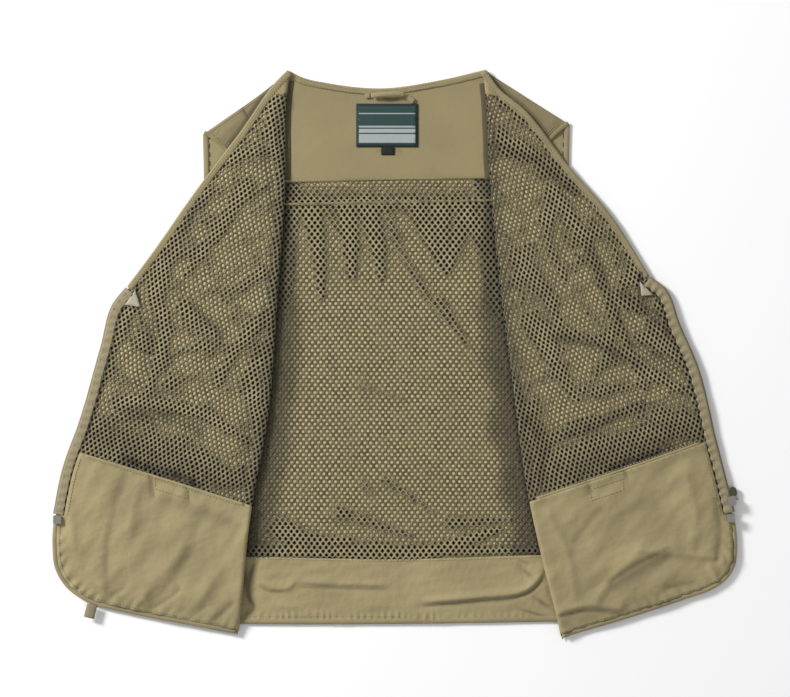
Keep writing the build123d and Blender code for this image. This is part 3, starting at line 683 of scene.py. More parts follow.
def metal_material(name, colour):
    """Dull plated metal with fine mottling."""
    shader = Shader(name, 0.42, metallic=1.0)
    fine = shader.noise(0.8, 4)
    shader.colour(shader.mix(shader.spread(fine, 0.3, 0.7), tone(colour, 0.75), colour))
    shader.bump(fine, 0.2, 0.08)
    return shader.material


def ribbed_material(name, colour, rib=1.1):
    """Woven tape with ribs, for webbing, zip tape and the coil."""
    shader = Shader(name, 0.8, sheen=0.1)
    fine = shader.spread(shader.noise(1.5, 3), 0.3, 0.7)
    shader.colour(shader.mix(fine, tone(colour, 0.86), tone(colour, 1.1)))
    shader.bump(shader.weave(rib), 0.6, 0.3)
    return shader.material


def label_material(name, ground, pale, box):
    """Dense satin weave with plain woven bands: no letters and no mark."""
    x0, x1, y0, y1 = box
    shader = Shader(name, 0.6)
    split = shader.node("ShaderNodeSeparateXYZ", {0: shader.place})

    def part(k, low, high):
        """0 to 1 from low to high along one axis."""
        from_low = shader.math("SUBTRACT", split.outputs[k], low * MM)
        return shader.math("MULTIPLY", from_low, 1 / ((high - low) * MM))

    def near_edge(value, reach):
        from_middle = shader.math("ABSOLUTE", shader.math("SUBTRACT", value, 0.5), 0)
        return shader.math("GREATER_THAN", from_middle, reach)

    wide, tall = part(0, x0, x1), part(1, y0, y1)
    grain = shader.noise(1.2, 2)
    colour = shader.mix(grain, tone(ground, 0.8), tone(ground, 1.2))
    band_tone = shader.mix(grain, tone(pale, 0.75), tone(pale, 1.1))
    for low, high in ((0.1, 0.3), (0.33, 0.42), (0.45, 0.49), (0.76, 0.785)):
        above = shader.math("GREATER_THAN", tall, low)
        under = shader.math("LESS_THAN", tall, high)
        colour = shader.mix(shader.math("MULTIPLY", above, under), colour, band_tone)
    edge = shader.math("MAXIMUM", near_edge(wide, 0.455), near_edge(tall, 0.435))
    shader.colour(shader.mix(edge, colour, tone(ground, 0.45)))
    shader.bump(shader.weave(0.5), 0.3, 0.12)
    return shader.material


OUTER_CLOTH = cloth_material("outer_cloth", (0.3, 0.245, 0.128))
LINING_CLOTH = cloth_material("lining_cloth", (0.32, 0.262, 0.132), crinkled=1.5)
YOKE_CLOTH = cloth_material("yoke_cloth", (0.282, 0.23, 0.114), variation=0.05, crinkled=0.5)
BINDING = cloth_material("binding_cloth", (0.275, 0.226, 0.117), thread=0.8)
# near-black cloth for painted shadow: the strips beside the creases on the yoke and the dashed line inside
# the back armholes
SHADOW_CLOTH = cloth_material("shadow_cloth", (0.085, 0.068, 0.034), variation=0.12)
THREAD = cloth_material("thread", (0.36, 0.3, 0.165), variation=0.06, thread=0.3)
# the net's yarn in a painted shaded colour and a painted lit colour, and the cloth under the net, lit and in
# painted deep shade
NET = net_material("net_yarn", (0.088, 0.072, 0.031), (0.43, 0.36, 0.19))
NET_UNDER = backing_material("cloth_under_net", (0.54, 0.45, 0.225), (0.008, 0.006, 0.003))
ZIP_CLOTH = ribbed_material("zip_tape_cloth", (0.31, 0.26, 0.15))
TAPE_END = ribbed_material("zip_tape_back", (0.42, 0.39, 0.28))
HEM_CLOTH = cloth_material("hem_cloth", (0.33, 0.27, 0.136), variation=0.07, crinkled=1.6)
SHOULDER_CLOTH = cloth_material("shoulder_cloth", (0.225, 0.185, 0.093), crinkled=1.2)
COIL = ribbed_material("zip_coil", (0.2, 0.165, 0.095), rib=1.3)
WEBBING = ribbed_material("webbing", (0.25, 0.21, 0.12), rib=1.6)
METAL = metal_material("zip_metal", (0.44, 0.42, 0.38))
GRIP = cloth_material("grip_moulding", (0.06, 0.055, 0.03), thread=1.2, roughness=0.6, sheen=0.0)


# ---- how each front lies
def flap_frame(side):
    """A front's lines and its height, with crease_x(points) for its folded edge."""
    crease = curve(side["crease"])[::-1]
    edges = [curve(side[key]) for key in ("neck", "zip", "lower")]
    outer = np.vstack(edges)

    def crease_x(points):
        return np.interp(points[:, 1], crease[:, 1], crease[:, 0])

    def height(points):
        x = side["sign"] * np.maximum(side["sign"] * points[:, 0], side["sign"] * crease_x(points))
        spot = np.column_stack([x, points[:, 1]])
        from_crease = side["sign"] * (x - crease_x(points))
        z = FLAP_Z + 0.7 * swell(spot, 11 if side["sign"] < 0 else 23, 110) + 0.6 * swell(spot, 12, 48)
        z -= EDGE_DROP * near_line(spot, outer, 20)
        return z + 1.3 * bell(from_crease, 16)

    def wrapped(radius):
        def place(flat, z):
            past = -side["sign"] * (flat[:, 0] - crease_x(flat))
            turn = np.clip(past / radius, 0, math.pi)
            x = np.where(past > 0, crease_x(flat) - side["sign"] * radius * np.sin(turn), flat[:, 0])
            return np.column_stack([x, flat[:, 1], z - radius * (1 - np.cos(turn))])
        return place

    side["edges"] = edges
    side["outer"] = outer
    side["crease_line"] = crease[::-1]
    side["crease_x"] = crease_x
    side["height"] = height
    side["wrapped"] = wrapped


for side in SIDES.values():
    flap_frame(side)


def fold_blend(obj, name):
    """Bakes the piece's place into its mesh; the ends of a band across the front's fold line are worked out
    but not used, and nothing makes the piece bend or move with the front.
    """
    side = SIDES[name]
    (x0, y0), (x1, y1) = side["axis"]
    length = math.hypot(x1 - x0, y1 - y0)
    out_x, out_y = -side["sign"] * (y1 - y0) / length, side["sign"] * (x1 - x0) / length
    start, end = ([(x0 + reach * out_x) * MM, (y0 + reach * out_y) * MM, FOLD_Z * MM] for reach in FOLD_BAND)
    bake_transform(obj)
    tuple(start)
    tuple(end)


def declare(nodes=()):
    """Hide the imported parts that a piece stands for, if any are given."""
    if nodes:
        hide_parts(*nodes)


def note_strip(obj, line, width):
    """Keep a tape's cut size with its mesh: its width by its length."""
    length = np.hypot(*np.diff(line, axis=0).T).sum()
    obj["flat_size"] = [width, length]
    obj["flat_area"] = width * length


def tape(name, line, near, far, height, thick, material, nodes=(), ripple=(0.0, 11.0),
         width=None, across_points=7):
    """A ribbon that keeps its cut size with its mesh and hides the parts it stands for."""
    obj = ribbon(name, line, near, far, height, thick, material, ripple, across_points)
    note_strip(obj, line, width or abs(far - near))
    declare(nodes)
    return obj


# ---- the back
def back_cloth_height(points):
    return BACK_CLOTH_Z + 0.2 * swell(points, 3, 140)


def back_net_height(points):
    return back_cloth_height(points) + NET_LIE + NET_LIFT * looseness(points, BACK_GAPS, 31)


def header_height(points):
    return back_net_height(points) + 0.2


def back_gap_and_shade(points):
    gap = looseness(points, BACK_GAPS, 31)
    # beside each crease the holes get painted shade from the fronts, full above y 90 and weaker lower down;
    # the net is not lifted there
    loose = 0.4 + 0.6 * np.clip((points[:, 1] - 30) / 60, 0, 1)
    for side in SIDES.values():
        gap = np.maximum(gap, loose * near_line(points, side["crease_line"], CREASE_SHADE_WIDTH, 5))
    return gap


def back_shade(points):
    """Shade that the fronts throw on the back, beside each crease and inside the armholes."""
    shade = np.zeros(len(points))
    wide = 18 + 18 * np.clip((150 - points[:, 1]) / 110, 0, 1)
    for side in SIDES.values():
        cast = 0.66 * near_line(points, side["crease_line"], wide * (1 + 0.16 * swell(points, 91, 50)), 6)
        core = 0.95 * near_line(points, side["crease_line"], 13)
        by_armhole = side["armhole_shade"] * (side["sign"] * points[:, 0] > ARMHOLE_X)
        shade = np.maximum.reduce([shade, cast, core, by_armhole])
    return shade


def yoke_height(points):
    z = YOKE_Z + 0.35 * swell(points, 41, 90)
    return z - 0.7 * near_line(points, curve(YOKE_SEAM), 4)


def hem_height(points):
    uneven = 0.4 * swell(points, 51, 80) + 0.4 * wrinkles(points, 52, 20, 4) + 0.16 * swell(points, 53, 12)
    wave = np.sin(points[:, 0] * math.tau / 8.5 + 1.8 * swell(points, 54, 40))
    beside_seam = bell(points[:, 1] + 327, 6.5) * (0.6 + 0.5 * swell(points, 55, 45))
    creased = 2.2 * folds(points, HEM_FACING_CREASES, 0.85)
    z = HEM_FACING_Z + 0.5 + uneven + creased + 0.75 * wave * beside_seam
    return np.maximum(z, HEM_FACING_Z - 0.1 + 0.2 * uneven)


def neck_height(points):
    return yoke_height(points) + 0.2


def between_creases(upper, lower, reach):
    """The part of the back between two lines across it, reaching under both rolls."""
    left = shifted(SIDES["left"]["crease_line"], reach)
    right = shifted(SIDES["right"]["crease_line"], -reach)
    top, bottom = np.array(upper, float), np.array(lower, float)

    def part(line):
        y_top = np.interp(line[:, 0], top[:, 0], top[:, 1])
        y_bottom = np.interp(line[:, 0], bottom[:, 0], bottom[:, 1])
        return line[(line[:, 1] < y_top - 2) & (line[:, 1] > y_bottom + 2)]

    def across(line):
        fine = curve(line, 4)
        x_left = np.interp(fine[:, 1], left[::-1, 1], left[::-1, 0])
        x_right = np.interp(fine[:, 1], right[::-1, 1], right[::-1, 0])
        return fine[(fine[:, 0] > x_left) & (fine[:, 0] < x_right)]

    return closed(across(top), part(right), across(bottom)[::-1], part(left)[::-1])


def build_back_cloth():
    """The shell of the back, the lining's plain and knitted parts, and the seam between the two knits."""
    side_l, side_r = SIDES["left"], SIDES["right"]
    right_edge = [curve(side_r[key]) for key in ("shoulder", "back_armhole", "side_seam")]
    left_edge = [curve(side_l[key])[::-1] for key in ("side_seam", "back_armhole", "shoulder")]
    right_edge[0] = right_edge[0][1:]
    outline = closed(curve(NECK_EDGE), *right_edge, curve(HEM_EDGE), *left_edge)
    cloth = panel("back_outer_cloth", outline, back_cloth_height, NET_UNDER, 5.0, 0.9,
                  ["back_shell"], under=OUTER_CLOTH)
    # painted shade: the cloth seen through the net's holes goes dark where the gap mask is high
    paint(cloth, "gap", back_gap_and_shade(vertices_of(cloth)))
    paint(cloth, "shade", back_shade(vertices_of(cloth)))
    lining = between_creases(HEADER_SEAM, HEM_SEAM, 6)
    knit = net("back_net", lining, back_net_height, back_gap_and_shade, back_shade, "back_mesh_lining")
    header = between_creases(YOKE_SEAM, HEADER_SEAM, 6)
    dense = net("back_header_net", header, header_height, back_gap_and_shade, back_shade, "back_mesh_header",
                pitch=HEADER_PITCH)
    yoke = between_creases(NECK_EDGE, YOKE_SEAM, 4)
    plain = panel("back_yoke", yoke, yoke_height, YOKE_CLOTH, 3.0, 0.7,
                  ["back_yoke_lining"])
    paint(plain, "shade", crease_shade(vertices_of(plain), YOKE_SHADE, 0.7))
    facing = between_creases(HEM_SEAM, HEM_EDGE[::-1], 6)
    band = panel("back_hem_band", facing, hem_height, HEM_CLOTH, 2.2, 0.7,
                 ["back_hem_facing"])
    paint(band, "shade", crease_shade(vertices_of(band), HEM_FACING_CREASES, fade=0.85))
    seam = curve([point for point in HEADER_SEAM if abs(point[0]) < 150], 3)
    ridge = ribbon("back_header_seam", seam, -1.6, 1.6, header_height, 0.6, NET, (0.15, 7))
    for obj in (cloth, knit, dense, plain, band, ridge):
        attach(obj, "vest_back")
    return plain, band


def build_back_trim(plain, band):
    """The back's tapes, rows of stitches and the near-black strips of painted shadow beside the creases on
    the yoke.
    """
    trim = []
    for name, side in SIDES.items():
        line = crease_part(side, 0, 214, 341)
        # a near-black strip on the yoke beside each crease: painted shadow of the front's folded edge
        trim.append(tape(f"{name}_yoke_shadow_strip", line, -2 * side["sign"], 9.5 * side["sign"],
                         lambda p: yoke_height(p) + 0.3, 0.5, SHADOW_CLOTH,
                         ripple=(0.2, 40), width=12))
    trim.append(tape("back_neck_tape", curve(NECK_EDGE, 3), 0, 8, neck_height, 1.0, BINDING,
                     ["back_neck_binding"], (0.12, 19)))
    trim.append(tape("back_hem_tape", curve(HEM_EDGE, 3), -0.5, 6.5, lambda p: back_cloth_height(p) + 1.0,
                     2.0, BINDING, ["back_hem_binding"], (0.15, 16)))
    lower = curve([(x, y - 6.8) for x, y in NECK_EDGE[1:-1]])
    by_neck = [[(x, y - 2.5) for x, y in NECK_EDGE[1:-1]], lower[lower[:, 0] < -33], lower[lower[:, 0] > 15]]
    by_yoke = [[(x, y + 1.6) for x, y in YOKE_SEAM[1:3]]]
    inner_hem = [(x, y + 9) for x, y in HEM_EDGE[::-1] if abs(x) < 205]
    by_hem = [[(x, y - 2) for x, y in HEM_SEAM[1:4]], inner_hem]
    trim.append(stitches("neck_stitching", by_neck, lambda p: neck_height(p) + 1.1))
    trim.append(stitches("yoke_stitching", by_yoke, lambda p: yoke_height(p) + 0.15))
    trim.append(stitches("hem_stitching", by_hem, lambda p: hem_height(p) + 0.15))
    for obj in trim:
        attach(obj, "vest_back")


def vertices_of(obj):
    """The mesh's points in plan, in millimetres."""
    points = np.empty(len(obj.data.vertices) * 3)
    obj.data.vertices.foreach_get("co", points)
    return points.reshape(-1, 3)[:, :2] / MM


def rectangle(x0, x1, y0, y1, corner=1.0):
    """Outline of a rectangle with rounded corners."""
    points = []
    for x, y, turn in ((x1, y1, 0), (x0, y1, 90), (x0, y0, 180), (x1, y0, 270)):
        cx = x - math.copysign(corner, x - (x0 + x1) / 2)
        cy = y - math.copysign(corner, y - (y0 + y1) / 2)
        for step in (0, 30, 60, 90):
            angle = math.radians(turn + step)
            points.append((cx + corner * math.cos(angle), cy + corner * math.sin(angle)))
    dense = []
    for a, b in zip(points, points[1:] + points[:1]):
        count = max(1, round(math.dist(a, b) / 5))
        dense += [(a[0] + (b[0] - a[0]) * k / count, a[1] + (b[1] - a[1]) * k / count) for k in range(count)]
    return np.array(dense)


def edges_of(corners):
    """The straight edges of a closed figure."""
    return [[a, b] for a, b in zip(corners, corners[1:] + corners[:1])]


# x0, x1, y0, y1
LABEL = (-49, 28, 257, 311)
SIZE_TAB = (-18, -1, 247, 256.6)
LABEL_STITCHES = (-47.7, 26.7, 258.3, 309.7)


def build_labels():
    """The plain woven label and the small tab under it."""
    x0, x1, y0, y1 = LABEL_STITCHES
    woven = label_material("label_satin", (0.010, 0.042, 0.039), (0.36, 0.4, 0.4), LABEL)
    tab_cloth = cloth_material("tab_cloth", (0.009, 0.01, 0.011), thread=0.4, sheen=0.0)
    dark = cloth_material("label_thread", (0.02, 0.03, 0.03), thread=0.3)
    label = panel("label", rectangle(*LABEL), lambda p: yoke_height(p) + 1.0, woven, 5.0, 0.5,
                  ["neck_label"])
    tab = panel("label_tab", rectangle(*SIZE_TAB), lambda p: yoke_height(p) + 0.7, tab_cloth, 4.0, 0.4,
                ["size_tab"])
    rows = edges_of([(x0, y0), (x1, y0), (x1, y1), (x0, y1)])
    sewn = stitches("label_stitching", rows, lambda p: yoke_height(p) + 1.15, dark,
                    1.8, 0.9, 0.3)
    for obj in (label, tab, sewn):
        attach(obj, "vest_back")


def build_hanger():
    """The loop of tape at the neck, and its two sewn ends."""
    line = curve([(-30.6, 321.2), (-20, 322.3), (-8, 323.2), (4, 323.5), (11.6, 322.4)], 1.5)
    arch = 7.4 + 2.4 * np.sin(math.pi * np.linspace(0, 1, len(line))) ** 0.5

    def arched(points):
        away = np.hypot(points[:, None, 0] - line[None, :, 0], points[:, None, 1] - line[None, :, 1])
        return arch[np.argmin(away, axis=1)]

    loop = tape("hanger_tape", line, -2.0, 3.5, arched, 1.0, BINDING, ["hanger_loop"],
                ripple=(0.1, 8))
    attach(loop, "hanger_loop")
    ends = []
    for name, points in (("left", [(-38, 320.2), (-31.4, 321)]), ("right", [(12.4, 320.6), (23, 313.5)])):
        ends.append(tape(f"hanger_{name}_end", curve(points, 1.5), -3.2, 3.2, lambda p: neck_height(p) + 1.5,
                         1.1, BINDING))
        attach(ends[-1], "vest_back")
    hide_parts("hanger_loop_ends")


# ---- side panels, which stay on the back
def side_height(side):
    """Height of a side panel, which sinks at its edges and stays under the front."""
    edges = [(curve(side["shoulder"]), 16), (curve(side["side_seam"]), 10), (curve(side["side_hem"]), 8)]

    def height(points):
        z = SIDE_Z + 0.3 * swell(points, 61, 70)
        for line, reach in edges:
            z -= 2.4 * near_line(points, line, reach)
        return np.maximum(np.minimum(z, side["height"](points) - 3.4), 2.3)
    return height


def crease_part(side, reach, y_low=-400, y_high=400):
    """The folded edge, downwards, moved towards the middle by reach."""
    line = shifted(side["crease_line"], side["sign"] * reach)
    return line[(line[:, 1] > y_low) & (line[:, 1] < y_high)]


def build_side_panels(name):
    """The shell and lining beside the armhole, with the armhole's bindings and stitches, and dark dashes as a
    painted shadow line inside the back binding.
    """
    side = SIDES[name]
    inward = side["sign"]
    creases = SHOULDER_CREASES[name]
    low = side_height(side)

    def height(points):
        return low(points) + folds(points, creases)

    fold = crease_part(side, -2.5, y_high=343)
    edge_names = ("shoulder", "front_armhole", "side_seam", "side_hem")
    outline = closed(*[curve(side[key]) for key in edge_names], fold[::-1])
    shell = panel(f"{name}_side_cloth", outline, height, SHOULDER_CLOTH, 3.0, 0.7,
                  [f"{name}_side_shell"])
    # painted shadow beside the front's neck binding, and painted shade in the shoulder creases
    by_binding = 0.7 * near_line(vertices_of(shell), shifted(side["edges"][0], -inward * 2.5), 3.2)
    paint(shell, "shade", np.maximum(crease_shade(vertices_of(shell), creases, 1.6), by_binding))
    lining = panel(f"{name}_side_under", outline, lambda p: low(p) - 1.1, LINING_CLOTH, 8.0, 0.6,
                   [f"{name}_side_lining"])
    front_edge = curve(side["front_armhole"], 3)
    back_edge = curve(side["back_armhole"], 3)
    front_tape = tape(f"{name}_armhole_front", front_edge, inward * -0.5, inward * 5, lambda p: low(p) + 0.1,
                      1.0, SHOULDER_CLOTH, [f"{name}_armhole_binding"], ripple=(0.1, 15))
    back_tape = tape(f"{name}_armhole_back", back_edge, inward * -0.5, inward * 6,
                     lambda p: back_cloth_height(p) + 0.4, 0.9, BINDING, ripple=(0.1, 15))
    rows = [shifted(front_edge, inward * reach)[4:24] for reach in (6.8, 9.5)]
    rows.append(shifted(curve(side["shoulder"]), inward * 2.5)[2:])
    sewn = stitches(f"{name}_shoulder_stitching", rows, lambda p: height(p) + 0.15)
    # dark dashes inside the back armhole binding: a painted shadow line
    seam = stitches(f"{name}_armhole_shadow_dashes", [shifted(back_edge, inward * 6.8)],
                    lambda p: back_cloth_height(p) + 0.3, SHADOW_CLOTH, 6.0, 5.4, 0.8)
    for obj in (shell, lining, front_tape, back_tape, sewn, seam):
        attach(obj, "vest_back")


# ---- the fronts
def flap_outline(side, inset, wrap):
    """Outline of a front, its free edges moved in by inset and its folded edge out by wrap."""
    neck, zip_line, lower = (shifted(line, side["sign"] * inset) for line in side["edges"])
    crease = crease_part(side, wrap)
    return closed(crease, lower[::-1], zip_line[::-1], neck[::-1])


def mouth_y(side, points):
    """Where the mouth of the lining's pocket is, at each point's x."""
    mouth = np.array(sorted(side["mouth"]), float)
    return np.interp(points[:, 0], mouth[:, 0], mouth[:, 1])


def below_mouth(side, line):
    """The part of a line under the pocket's mouth."""
    return line[line[:, 1] < mouth_y(side, line) - 2]


def flap_gap_and_shade(side, name):
    """Where a front's net stands clear in its folds, and painted shade in the holes beside the crease, the V
    neck and the zip tape's edge, where the net lies flat.
    """
    def gap(points):
        found = looseness(points, FLAP_GAPS[name], 71, 0.58)
        upper = np.clip((points[:, 1] + 60) / 60, 0, 1) if side["sign"] > 0 else 0
        by_crease = near_line(points, side["crease_line"], 8.5, 4)
        by_neck = bell(distance(points, side["edges"][0]) - 9, 4)
        from_tape = distance(points, side["edges"][1]) - 13
        found = np.maximum(found * (1 - 0.6 * upper * by_crease), by_crease * (1 - 0.75 * upper))
        found = np.maximum.reduce([found, 0.8 * by_neck, bell(from_tape, 4)])
        # painted shade: a fixed middle value where the pocket covers the front, except dark along the gap
        # beside the zip tape
        covered = (points[:, 1] < mouth_y(side, points) - 12) & (np.abs(from_tape) > 4)
        return np.where(covered, 0.3, found)
    return gap


def flap_shade(side, name):
    """Shade on a front along its crease, in its folds and under the edge and the end of the zip tape."""
    def shade(points):
        by_tape = bell(distance(points, side["edges"][1]) - 13, 2.6)
        by_end = bell(np.hypot(*(points - np.mean(side["tape_end"], axis=0)).T), 11, 4)
        shades = [0.95 * by_tape, 0.8 * by_end, 0.6 * near_line(points, side["crease_line"], 9)]
        for line, width, strength in FLAP_SHADES[name]:
            shades.append(strength * near_line(points, curve(line, 6), width))
        return np.clip(np.maximum.reduce(shades) * (0.9 + 0.25 * swell(points, 93, 14)), 0, 1)
    return shade


def build_front(name):
    """One front: shell, net, plain corner, bindings, zip and the pocket on its lining."""
    side = SIDES[name]
    height = side["height"]
    sign = side["sign"]
    gap = flap_gap_and_shade(side, name)
    shade = flap_shade(side, name)
    net_place = side["wrapped"](NET_ROLL)
    outline = flap_outline(side, 2.5, TUCKED * SHELL_ROLL)
    shell = panel(f"{name}_outer_cloth", outline, lambda p: height(p) - 1.5, NET_UNDER, 5.0, 0.8,
                  [f"{name}_front_shell"], side["wrapped"](SHELL_ROLL), OUTER_CLOTH)
    # painted shade: the shell seen through the net's holes goes dark by the gap mask and by part of the
    # front's painted shade
    paint(shell, "gap", gap(vertices_of(shell)))
    paint(shell, "shade", 0.6 * shade(vertices_of(shell)))

    def net_height(points):
        return height(points) - 1.1 + 0.8 * NET_LIFT * looseness(points, FLAP_GAPS[name], 71, 0.58)

    region = flap_outline(side, 4.0, TUCKED * NET_ROLL)
    region = region[(region[:, 1] > mouth_y(side, region) - 18) & (region[:, 1] < FACING_Y + 3)]
    knit = net(f"{name}_net", region, net_height, gap, shade, f"{name}_front_lining", net_place,
               side["grain"], FRONT_PITCH)

    corner = flap_outline(side, 1.0, TUCKED * NET_ROLL)
    corner = corner[corner[:, 1] > FACING_Y - 4]
    facing = panel(f"{name}_neck_corner", corner, lambda p: height(p) - 0.2, YOKE_CLOTH, 3.0, 0.7,
                   [f"{name}_neck_facing"], net_place)

    neck = curve(side["neck"], 3)
    neck_tape = tape(f"{name}_neck_tape", neck, -0.3 * sign, 8 * sign, lambda p: height(p) - 0.6, 1.6,
                     BINDING, [f"{name}_neck_binding"], (0.15, 17))
    rows = [shifted(neck, sign * reach)[1:-2] for reach in (1.8, 6.6)]
    sewn = stitches(f"{name}_neck_stitching", rows, lambda p: height(p) + 1.0)

    lower = curve(side["lower"], 3)
    lower = lower[sign * (lower[:, 0] - side["crease_x"](lower)) > -1]
    hem_tape = tape(f"{name}_hem_tape", lower, 0, 6.5 * sign, lambda p: height(p) - 1.4, 2.0, BINDING,
                    [f"{name}_hem_binding"], (0.2, 13))
    build_zip(name)
    for obj in (shell, knit, facing, neck_tape, sewn, hem_tape, *build_inner_pocket(name)):
        fold_blend(obj, name)


def build_zip(name):
    """One side's zip tape with its coil, stitches and folded end."""
    side = SIDES[name]
    sign = side["sign"]
    edge = curve(side["zip"], 1.5)

    def height(points):
        return side["height"](points) + 0.9

    cloth = tape(f"{name}_zip_cloth", edge, 0.4 * sign, 12 * sign, height, 0.8, ZIP_CLOTH,
                 [f"{name}_zip_tape"], ripple=(1.1, 11), across_points=9)
    coil = ribbon(f"{name}_zip_coil", curve(side["zip"], 0.8), -1.2 * sign, 2.0 * sign,
                  lambda p: height(p) - 1.3, 1.2, COIL, (0.3, 2.2))
    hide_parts(f"{name}_zip_teeth")
    rows = [shifted(edge, sign * reach)[3:-3:3] for reach in (10.2, 3.0)]
    sewn = stitches(f"{name}_zip_stitching", rows, lambda p: height(p) + 0.75)
    fold = closed(*[curve(line, 3)[:-1] for line in edges_of(side["tape_end"])])
    end = panel(f"{name}_zip_end", fold, lambda p: height(p) + 0.6, TAPE_END, 3.0, 0.6,
                [f"{name}_zip_tape_end"])
    for obj in (cloth, coil, sewn, end):
        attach(obj, f"{name}_front")


def pocket_height(side, name, mouth):
    """Height of a lining pocket: full in the middle, creased, and puckered along the hem."""
    sign = side["sign"]
    slant = 52 if sign < 0 else 35

    def pucker(points):
        across = (points[:, 0] * 0.75 + points[:, 1] * sign * 0.65) * math.tau / 13
        fading = bell(distance(points, side["edges"][2]) - 9, 8) * (0.6 + 0.5 * swell(points, 85, 50))
        return 1.6 * np.sin(across + 2.0 * swell(points, 84, 60)) * fading

    def height(points):
        full = 1.6 * np.clip(distance(points, side["outer"]) / 45, 0, 1)
        crown = 1.0 * near_line(points, mouth, 7)
        uneven = 0.8 * swell(points, 81, 60) + 0.8 * wrinkles(points, 82, 26, slant)
        uneven += 0.22 * swell(points, 83, 12)
        creased = 2.5 * folds(points, POCKET_CREASES[name])
        z = side["height"](points) + 0.9 + full + crown + uneven + creased + pucker(points)
        return np.maximum(z, side["height"](points) + 0.2)
    return height


def build_inner_pocket(name):
    """The big pocket on the lining, its mouth, its stitches and the closure behind the mouth."""
    side = SIDES[name]
    sign = side["sign"]
    mouth = curve(side["mouth"], 4)
    height = pocket_height(side, name, mouth)
    place = side["wrapped"](NET_ROLL)
    by_zip = below_mouth(side, shifted(side["edges"][1], sign * 13.2))
    lower = below_mouth(side, shifted(side["edges"][2], sign * 5.5))
    crease = below_mouth(side, crease_part(side, TUCKED * NET_ROLL))
    outline = closed(mouth, crease, lower[::-1], by_zip[::-1])
    pocket = panel(f"{name}_lining_pocket", outline, height, LINING_CLOTH, 3.2, 0.8,
                   [f"{name}_inner_pocket"], place)
    paint(pocket, "shade", crease_shade(vertices_of(pocket), POCKET_CREASES[name]))
    edge = ribbon(f"{name}_pocket_mouth", mouth[2:-4], 0, 3.0, lambda p: height(p) - 0.3, 0.8, LINING_CLOTH,
                  (0.1, 18))
    note_strip(edge, mouth, 3.0)
    declare()
    x, y = side["closure"]
    slope = (mouth[-1, 1] - mouth[0, 1]) / (mouth[-1, 0] - mouth[0, 0])
    corners = [(x + dx, y + dx * slope + dy) for dx, dy in ((-20, -7), (20, -7), (20, 7), (-20, 7))]
    rows = [shifted(mouth, 4.2)[3:-5], shifted(by_zip, sign * 4)[1:], shifted(lower, sign * 3.5)[2:-3]]
    sewn = stitches(f"{name}_pocket_stitching", rows + edges_of(corners), lambda p: height(p) + 0.4,
                    place=place)
    patch = closed(*[curve(line, 5) for line in edges_of(corners)])
    hook = panel(f"{name}_pocket_fastener", patch, lambda p: height(p) - 1.7, WEBBING, 5.0, 0.6,
                 [f"{name}_pocket_closure"])
    return [pocket, edge, sewn, hook]


# ---- pockets under the fronts, on the outside of the vest: x0, x1, y0, y1 and the length of the flap
OUTER_POCKETS = {
    "left_chest_pocket": (-345, -275, -85, 15, 48), "left_lower_pocket": (-395, -275, -285, -135, 58),
    "right_chest_pocket": (272, 340, -85, 15, 48), "right_lower_pocket": (275, 390, -285, -135, 58),
}
HINGE_ABOVE = 15


def build_outer_pockets():
    """Each outer pocket's bag, and its flap, which hangs from a hinge above the bag and is a little wider."""
    for name, (x0, x1, y0, y1, flap_length) in OUTER_POCKETS.items():
        bag = pillow(f"{name}_bag", rectangle(x0, x1, y0, y1, 6), 1.8, 6.0, name, soft=0.7, seed=len(name))
        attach(bag, f"{name.split('_')[0]}_front")
        top = y1 + HINGE_ABOVE
        bottom = top - flap_length
        lid = pillow(f"{name}_lid", rectangle(x0 - 3, x1 + 3, bottom, top, 5), 0.1, 1.4, f"{name}_flap")
        left, right = x0 - 0.5, x1 + 0.5
        edge = [(left, top - 3), (left, bottom + 3), (right, bottom + 3), (right, top - 3)]
        rows = edges_of(edge)[:-1]
        sewn = stitches(f"{name}_lid_stitching", rows, lambda p: np.full(len(p), 0.15),
                        thick=0.3)
        for obj in (lid, sewn):
            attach(obj, name.replace("_pocket", "_flap"))


def build_hem_loop():
    """The folded webbing under the left hem."""
    line = curve([(-376.3, -311), (-378.2, -318), (-380.4, -327.3)], 2)
    tab = tape("hem_webbing", line, -6.5, 6.5, lambda p: np.full(len(p), 7.2), 1.9, WEBBING,
               ["left_hem_loop"], ripple=(0.1, 9))
    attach(tab, "left_front")


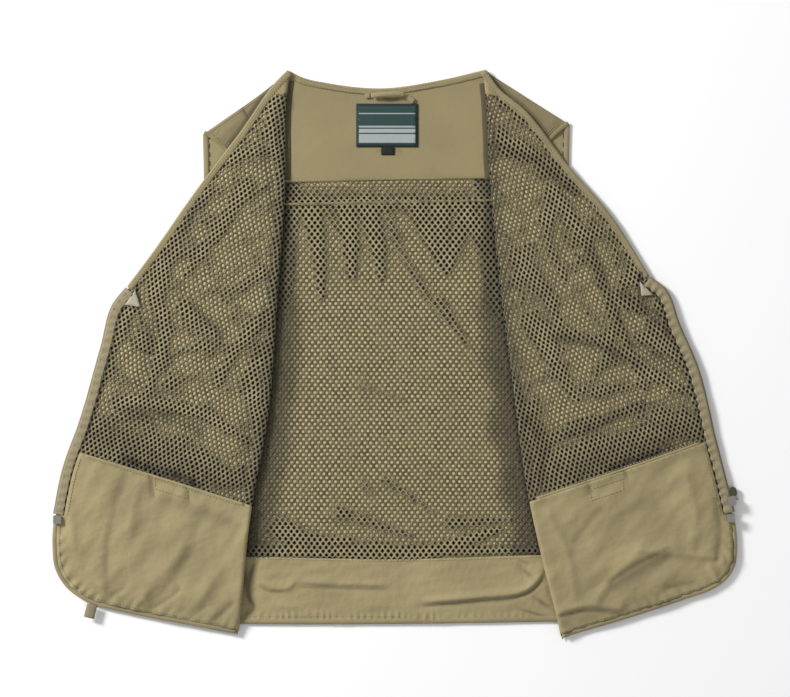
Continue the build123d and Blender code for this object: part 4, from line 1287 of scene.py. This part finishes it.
def dress_hardware():
    """The slider, pin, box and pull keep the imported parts' own shapes."""
    for name in ("zip_slider", "zip_pull", "left_zip_pin", "right_zip_box", "zip_pull_grip"):
        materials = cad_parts[name].data.materials
        materials.clear()
        materials.append(GRIP if name == "zip_pull_grip" else METAL)


# ---- the studio, in metres
CAMERA_PLACE = (-0.0007, 0.0068, 2.73)
FLOOR_TONE = (0.97, 0.97, 0.97, 1)
WORLD_STRENGTH = 0.46
# name, place, watts, size
LAMPS = (("key", (-3.36, 2.1, 2.31), 250, 1.0), ("fill", (1.6, -1.0, 2.2), 3, 1.6))


def build_camera():
    """A camera straight above the vest, as in the photo."""
    camera = bpy.data.cameras.new("camera")
    camera.lens = 100
    camera.sensor_width = 36
    view = bpy.data.objects.new("camera", camera)
    view.location = CAMERA_PLACE
    bpy.context.collection.objects.link(view)
    bpy.context.scene.camera = view


def build_studio():
    """A pale floor, a white sky, a soft key light from the upper left and a weak fill."""
    bpy.ops.mesh.primitive_plane_add(size=8, location=(0, 0, -0.0005))
    floor = bpy.context.object
    floor.name = "floor"
    pale = bpy.data.materials.new("floor")
    pale.use_nodes = True
    surface = pale.node_tree.nodes["Principled BSDF"].inputs
    surface["Base Color"].default_value = FLOOR_TONE
    surface["Roughness"].default_value = 0.9
    floor.data.materials.append(pale)
    world = bpy.data.worlds.new("studio")
    world.use_nodes = True
    sky = world.node_tree.nodes["Background"].inputs
    sky["Color"].default_value = (1, 1, 1, 1)
    sky["Strength"].default_value = WORLD_STRENGTH
    bpy.context.scene.world = world
    for name, place, power, size in LAMPS:
        light = bpy.data.lights.new(name, "AREA")
        light.energy = power
        light.size = size
        lamp = bpy.data.objects.new(name, light)
        lamp.location = place
        x, y, z = place
        lamp.rotation_euler = (math.atan2(math.hypot(x, y), z), 0, math.atan2(-x, y) + math.pi)
        bpy.context.collection.objects.link(lamp)
    bpy.context.scene.view_settings.view_transform = "Standard"


build_camera()
build_studio()
build_back_trim(*build_back_cloth())
build_labels()
build_hanger()
for side_name in SIDES:
    build_side_panels(side_name)
    build_front(side_name)
build_outer_pockets()
build_hem_loop()
dress_hardware()
